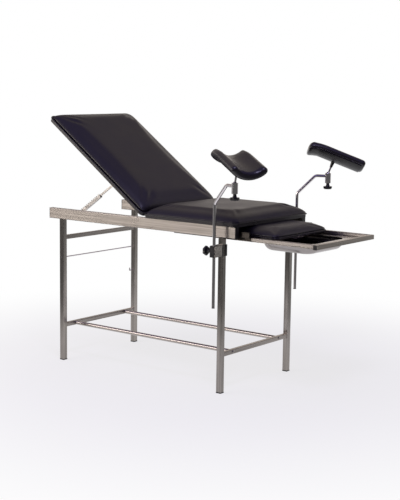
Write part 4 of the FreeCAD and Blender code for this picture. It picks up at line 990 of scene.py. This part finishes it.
class TABLE_OT_studio(bpy.types.Operator):
    """Sets the pale floor, soft lights and camera"""
    bl_idname = "table.studio"
    bl_label = "Studio"

    def execute(self, context):
        studio = context.scene.table_studio
        self.floor(studio)
        self.surroundings(context.scene, studio)
        self.lights()
        self.camera(context.scene, studio)
        context.scene.view_settings.view_transform = "Standard"
        return {"FINISHED"}

    @staticmethod
    def floor(studio):
        points = [(math.cos(2 * math.pi * n / 96) * 90, math.sin(2 * math.pi * n / 96) * 90,
                   0) for n in range(96)]
        ground = link(mesh_of("floor", points, [tuple(range(96))]), "floor")
        material = new_material("Pale studio floor")
        tree = material.node_tree
        paper = add(tree, "ShaderNodeTexNoise", {"Vector": object_space(tree, (3, 3, 3)), "Scale": 1.0})
        base = linear(studio.floor)
        tone = tuple(c * 0.985 for c in base[:3]) + (1.0,)
        colour = ramp(tree, paper.outputs["Fac"], [(0.3, base), (0.7, tone)])
        shader = add(tree, "ShaderNodeBsdfPrincipled", {"Base Color": colour, "Roughness": 0.9,
                                                        "Specular IOR Level": 0.1})
        # painted light: the floor glows though it is no lamp; the glow takes over from its shading with
        # distance, and dims on the side towards the dim room behind the camera, where only reflections see it
        spread = add(tree, "ShaderNodeVectorMath", {0: object_space(tree, (1, 1, 1))}, operation="LENGTH")
        fade = add(tree, "ShaderNodeMapRange",
                   {"Value": spread.outputs["Value"], "From Min": 0.6, "From Max": 2.4,
                                                "To Min": 0.72, "To Max": 1.0},
                                                interpolation_type="SMOOTHSTEP")
        view = (-math.sin(studio.azimuth), math.cos(studio.azimuth), 0.0)
        heading = add(tree, "ShaderNodeVectorMath", {0: object_space(tree, (1, 1, 1))}, operation="NORMALIZE")
        ahead = add(tree, "ShaderNodeVectorMath", {0: heading.outputs["Vector"], 1: view},
                    operation="DOT_PRODUCT")
        behind = add(tree, "ShaderNodeMapRange", {"Value": ahead.outputs["Value"], "From Min": 0.0,
                                                  "From Max": 0.75, "To Min": 0.12, "To Max": 1.0},
                     interpolation_type="SMOOTHSTEP")
        beside = add(tree, "ShaderNodeMapRange", {"Value": spread.outputs["Value"], "From Min": 1.0,
                                                  "From Max": 2.4, "To Min": 0.95, "To Max": 0.0},
                     interpolation_type="SMOOTHSTEP")
        floor_glow_by_side = add(tree, "ShaderNodeMath", {0: behind.outputs["Result"], 1: beside.outputs["Result"]},
                        operation="MAXIMUM")
        path = add(tree, "ShaderNodeLightPath")
        glow = add(tree, "ShaderNodeMath", {0: floor_glow_by_side.outputs["Value"], 1: path.outputs["Is Camera Ray"]},
                   operation="MAXIMUM")
        # the floor's painted glow, full strength wherever the camera sees the floor directly
        lit = add(tree, "ShaderNodeEmission",
                  {"Color": (1.0, 1.0, 1.0, 1.0), "Strength": glow.outputs["Value"]})
        both = add(tree, "ShaderNodeMixShader", {"Fac": fade.outputs["Result"], 1: shader.outputs["BSDF"],
                                                 2: lit.outputs["Emission"]})
        add(tree, "ShaderNodeOutputMaterial", {"Surface": both.outputs["Shader"]})
        dress(ground, material)

    @staticmethod
    def surroundings(scene, studio):
        """White sweep behind the table, a dim room on its other sides and a grey-violet ceiling."""
        world = bpy.data.worlds.new("Studio")
        scene.world = world
        world.use_nodes = True
        tree = world.node_tree
        tree.nodes.clear()
        where = add(tree, "ShaderNodeTexCoord")
        view = (-math.sin(studio.azimuth), math.cos(studio.azimuth), 0.0)
        ahead = add(tree, "ShaderNodeVectorMath", {0: where.outputs["Generated"], 1: view},
                    operation="DOT_PRODUCT")
        sweep = add(tree, "ShaderNodeMapRange",
                    {"Value": ahead.outputs["Value"], "From Min": 0.0, "From Max": 0.75},
                    interpolation_type="SMOOTHSTEP")
        height = add(tree, "ShaderNodeSeparateXYZ", {"Vector": where.outputs["Generated"]})
        top = add(tree, "ShaderNodeMapRange",
                  {"Value": height.outputs["Z"], "From Min": 0.2, "From Max": 0.5},
                  interpolation_type="SMOOTHSTEP")
        room = add(tree, "ShaderNodeMix", {"Factor": sweep.outputs["Result"], "A": linear("#3a3531"),
                                           "B": linear("#fbf1e8")}, data_type="RGBA")
        ceiling = add(tree, "ShaderNodeMix", {"Factor": sweep.outputs["Result"], "A": linear("#857bb0"),
                                              "B": linear("#a1978f")}, data_type="RGBA")
        overall = add(tree, "ShaderNodeMix", {"Factor": top.outputs["Result"], "A": room.outputs[2],
                                              "B": ceiling.outputs[2]}, data_type="RGBA")
        seen = add(tree, "ShaderNodeBackground", {"Color": (1.0, 1.0, 1.0, 1.0), "Strength": 1.0})
        lit = add(tree, "ShaderNodeBackground", {"Color": overall.outputs[2], "Strength": 1.0})
        path = add(tree, "ShaderNodeLightPath")
        both = add(tree, "ShaderNodeMixShader",
                   {"Fac": path.outputs["Is Camera Ray"], 1: lit.outputs["Background"],
                                                 2: seen.outputs["Background"]})
        add(tree, "ShaderNodeOutputWorld", {"Surface": both.outputs["Shader"]})

    @staticmethod
    def lights():
        for name, spot, aim, width, height, power, colour in (
                ("left softbox", (-2.3, -2.7, 1.35), (-0.8, 0, 1.1), 3.2, 1.1, 56, "#fff6ee"),
                ("violet key", (1.4, -1.6, 3.2), (0, 0, 0.7), 0.7, 0.7, 24, "#d8d2ff")):
            lamp = bpy.data.lights.new(name, "AREA")
            lamp.shape = "RECTANGLE"
            lamp.size = width
            lamp.size_y = height
            lamp.energy = power
            lamp.color = linear(colour)[:3]
            holder = bpy.data.objects.new(name, lamp)
            holder.location = spot
            holder.rotation_euler = (Vector(aim) - Vector(spot)).to_track_quat("-Z", "Y").to_euler()
            bpy.context.scene.collection.objects.link(holder)

    @staticmethod
    def camera(scene, studio):
        lens = bpy.data.cameras.new("camera")
        lens.lens = studio.lens
        lens.clip_end = 60
        eye = bpy.data.objects.new("camera", lens)
        scene.collection.objects.link(eye)
        side, fall = studio.azimuth, studio.elevation
        ahead = Vector((-math.sin(side) * math.cos(fall), math.cos(side) * math.cos(fall), -math.sin(fall)))
        level = Vector((math.cos(side), math.sin(side), 0))
        above = level.cross(ahead)
        right = math.cos(studio.roll) * level + math.sin(studio.roll) * above
        up = -math.sin(studio.roll) * level + math.cos(studio.roll) * above
        turn = Matrix((right, up, -ahead)).transposed()
        eye.matrix_world = Matrix.Translation(studio.camera) @ turn.to_4x4()
        scene.camera = eye


OPERATORS = (TABLE_OT_frame_finishes, TABLE_OT_flat_cushions, TABLE_OT_crutch_cushions, TABLE_OT_grips,
             TABLE_OT_fastenings, TABLE_OT_studio)


class TABLE_PT_builder(bpy.types.Panel):
    """Lists the building steps of the examination table"""
    bl_idname = "TABLE_PT_builder"
    bl_label = "Examination table"
    bl_space_type = "VIEW_3D"
    bl_region_type = "UI"
    bl_category = "Exam table"

    def draw(self, context):
        for operator in OPERATORS:
            self.layout.operator(operator.bl_idname)
        for group, kind in SETTINGS.items():
            box = self.layout.box()
            box.label(text=kind.__name__)
            for name in kind.__annotations__:
                box.prop(getattr(context.scene, group), name)


def register():
    for group, kind in SETTINGS.items():
        bpy.utils.register_class(kind)
        setattr(bpy.types.Scene, group, bpy.props.PointerProperty(type=kind))
    for kind in OPERATORS + (TABLE_PT_builder,):
        bpy.utils.register_class(kind)


def unregister():
    for kind in reversed(OPERATORS + (TABLE_PT_builder,)):
        bpy.utils.unregister_class(kind)
    for group, kind in SETTINGS.items():
        delattr(bpy.types.Scene, group)
        bpy.utils.unregister_class(kind)


def main():
    register()
    bpy.ops.table.frame_finishes()
    bpy.ops.table.flat_cushions()
    bpy.ops.table.crutch_cushions()
    bpy.ops.table.grips()
    bpy.ops.table.fastenings()
    bpy.ops.table.studio()


if __name__ == "__main__":
    main()
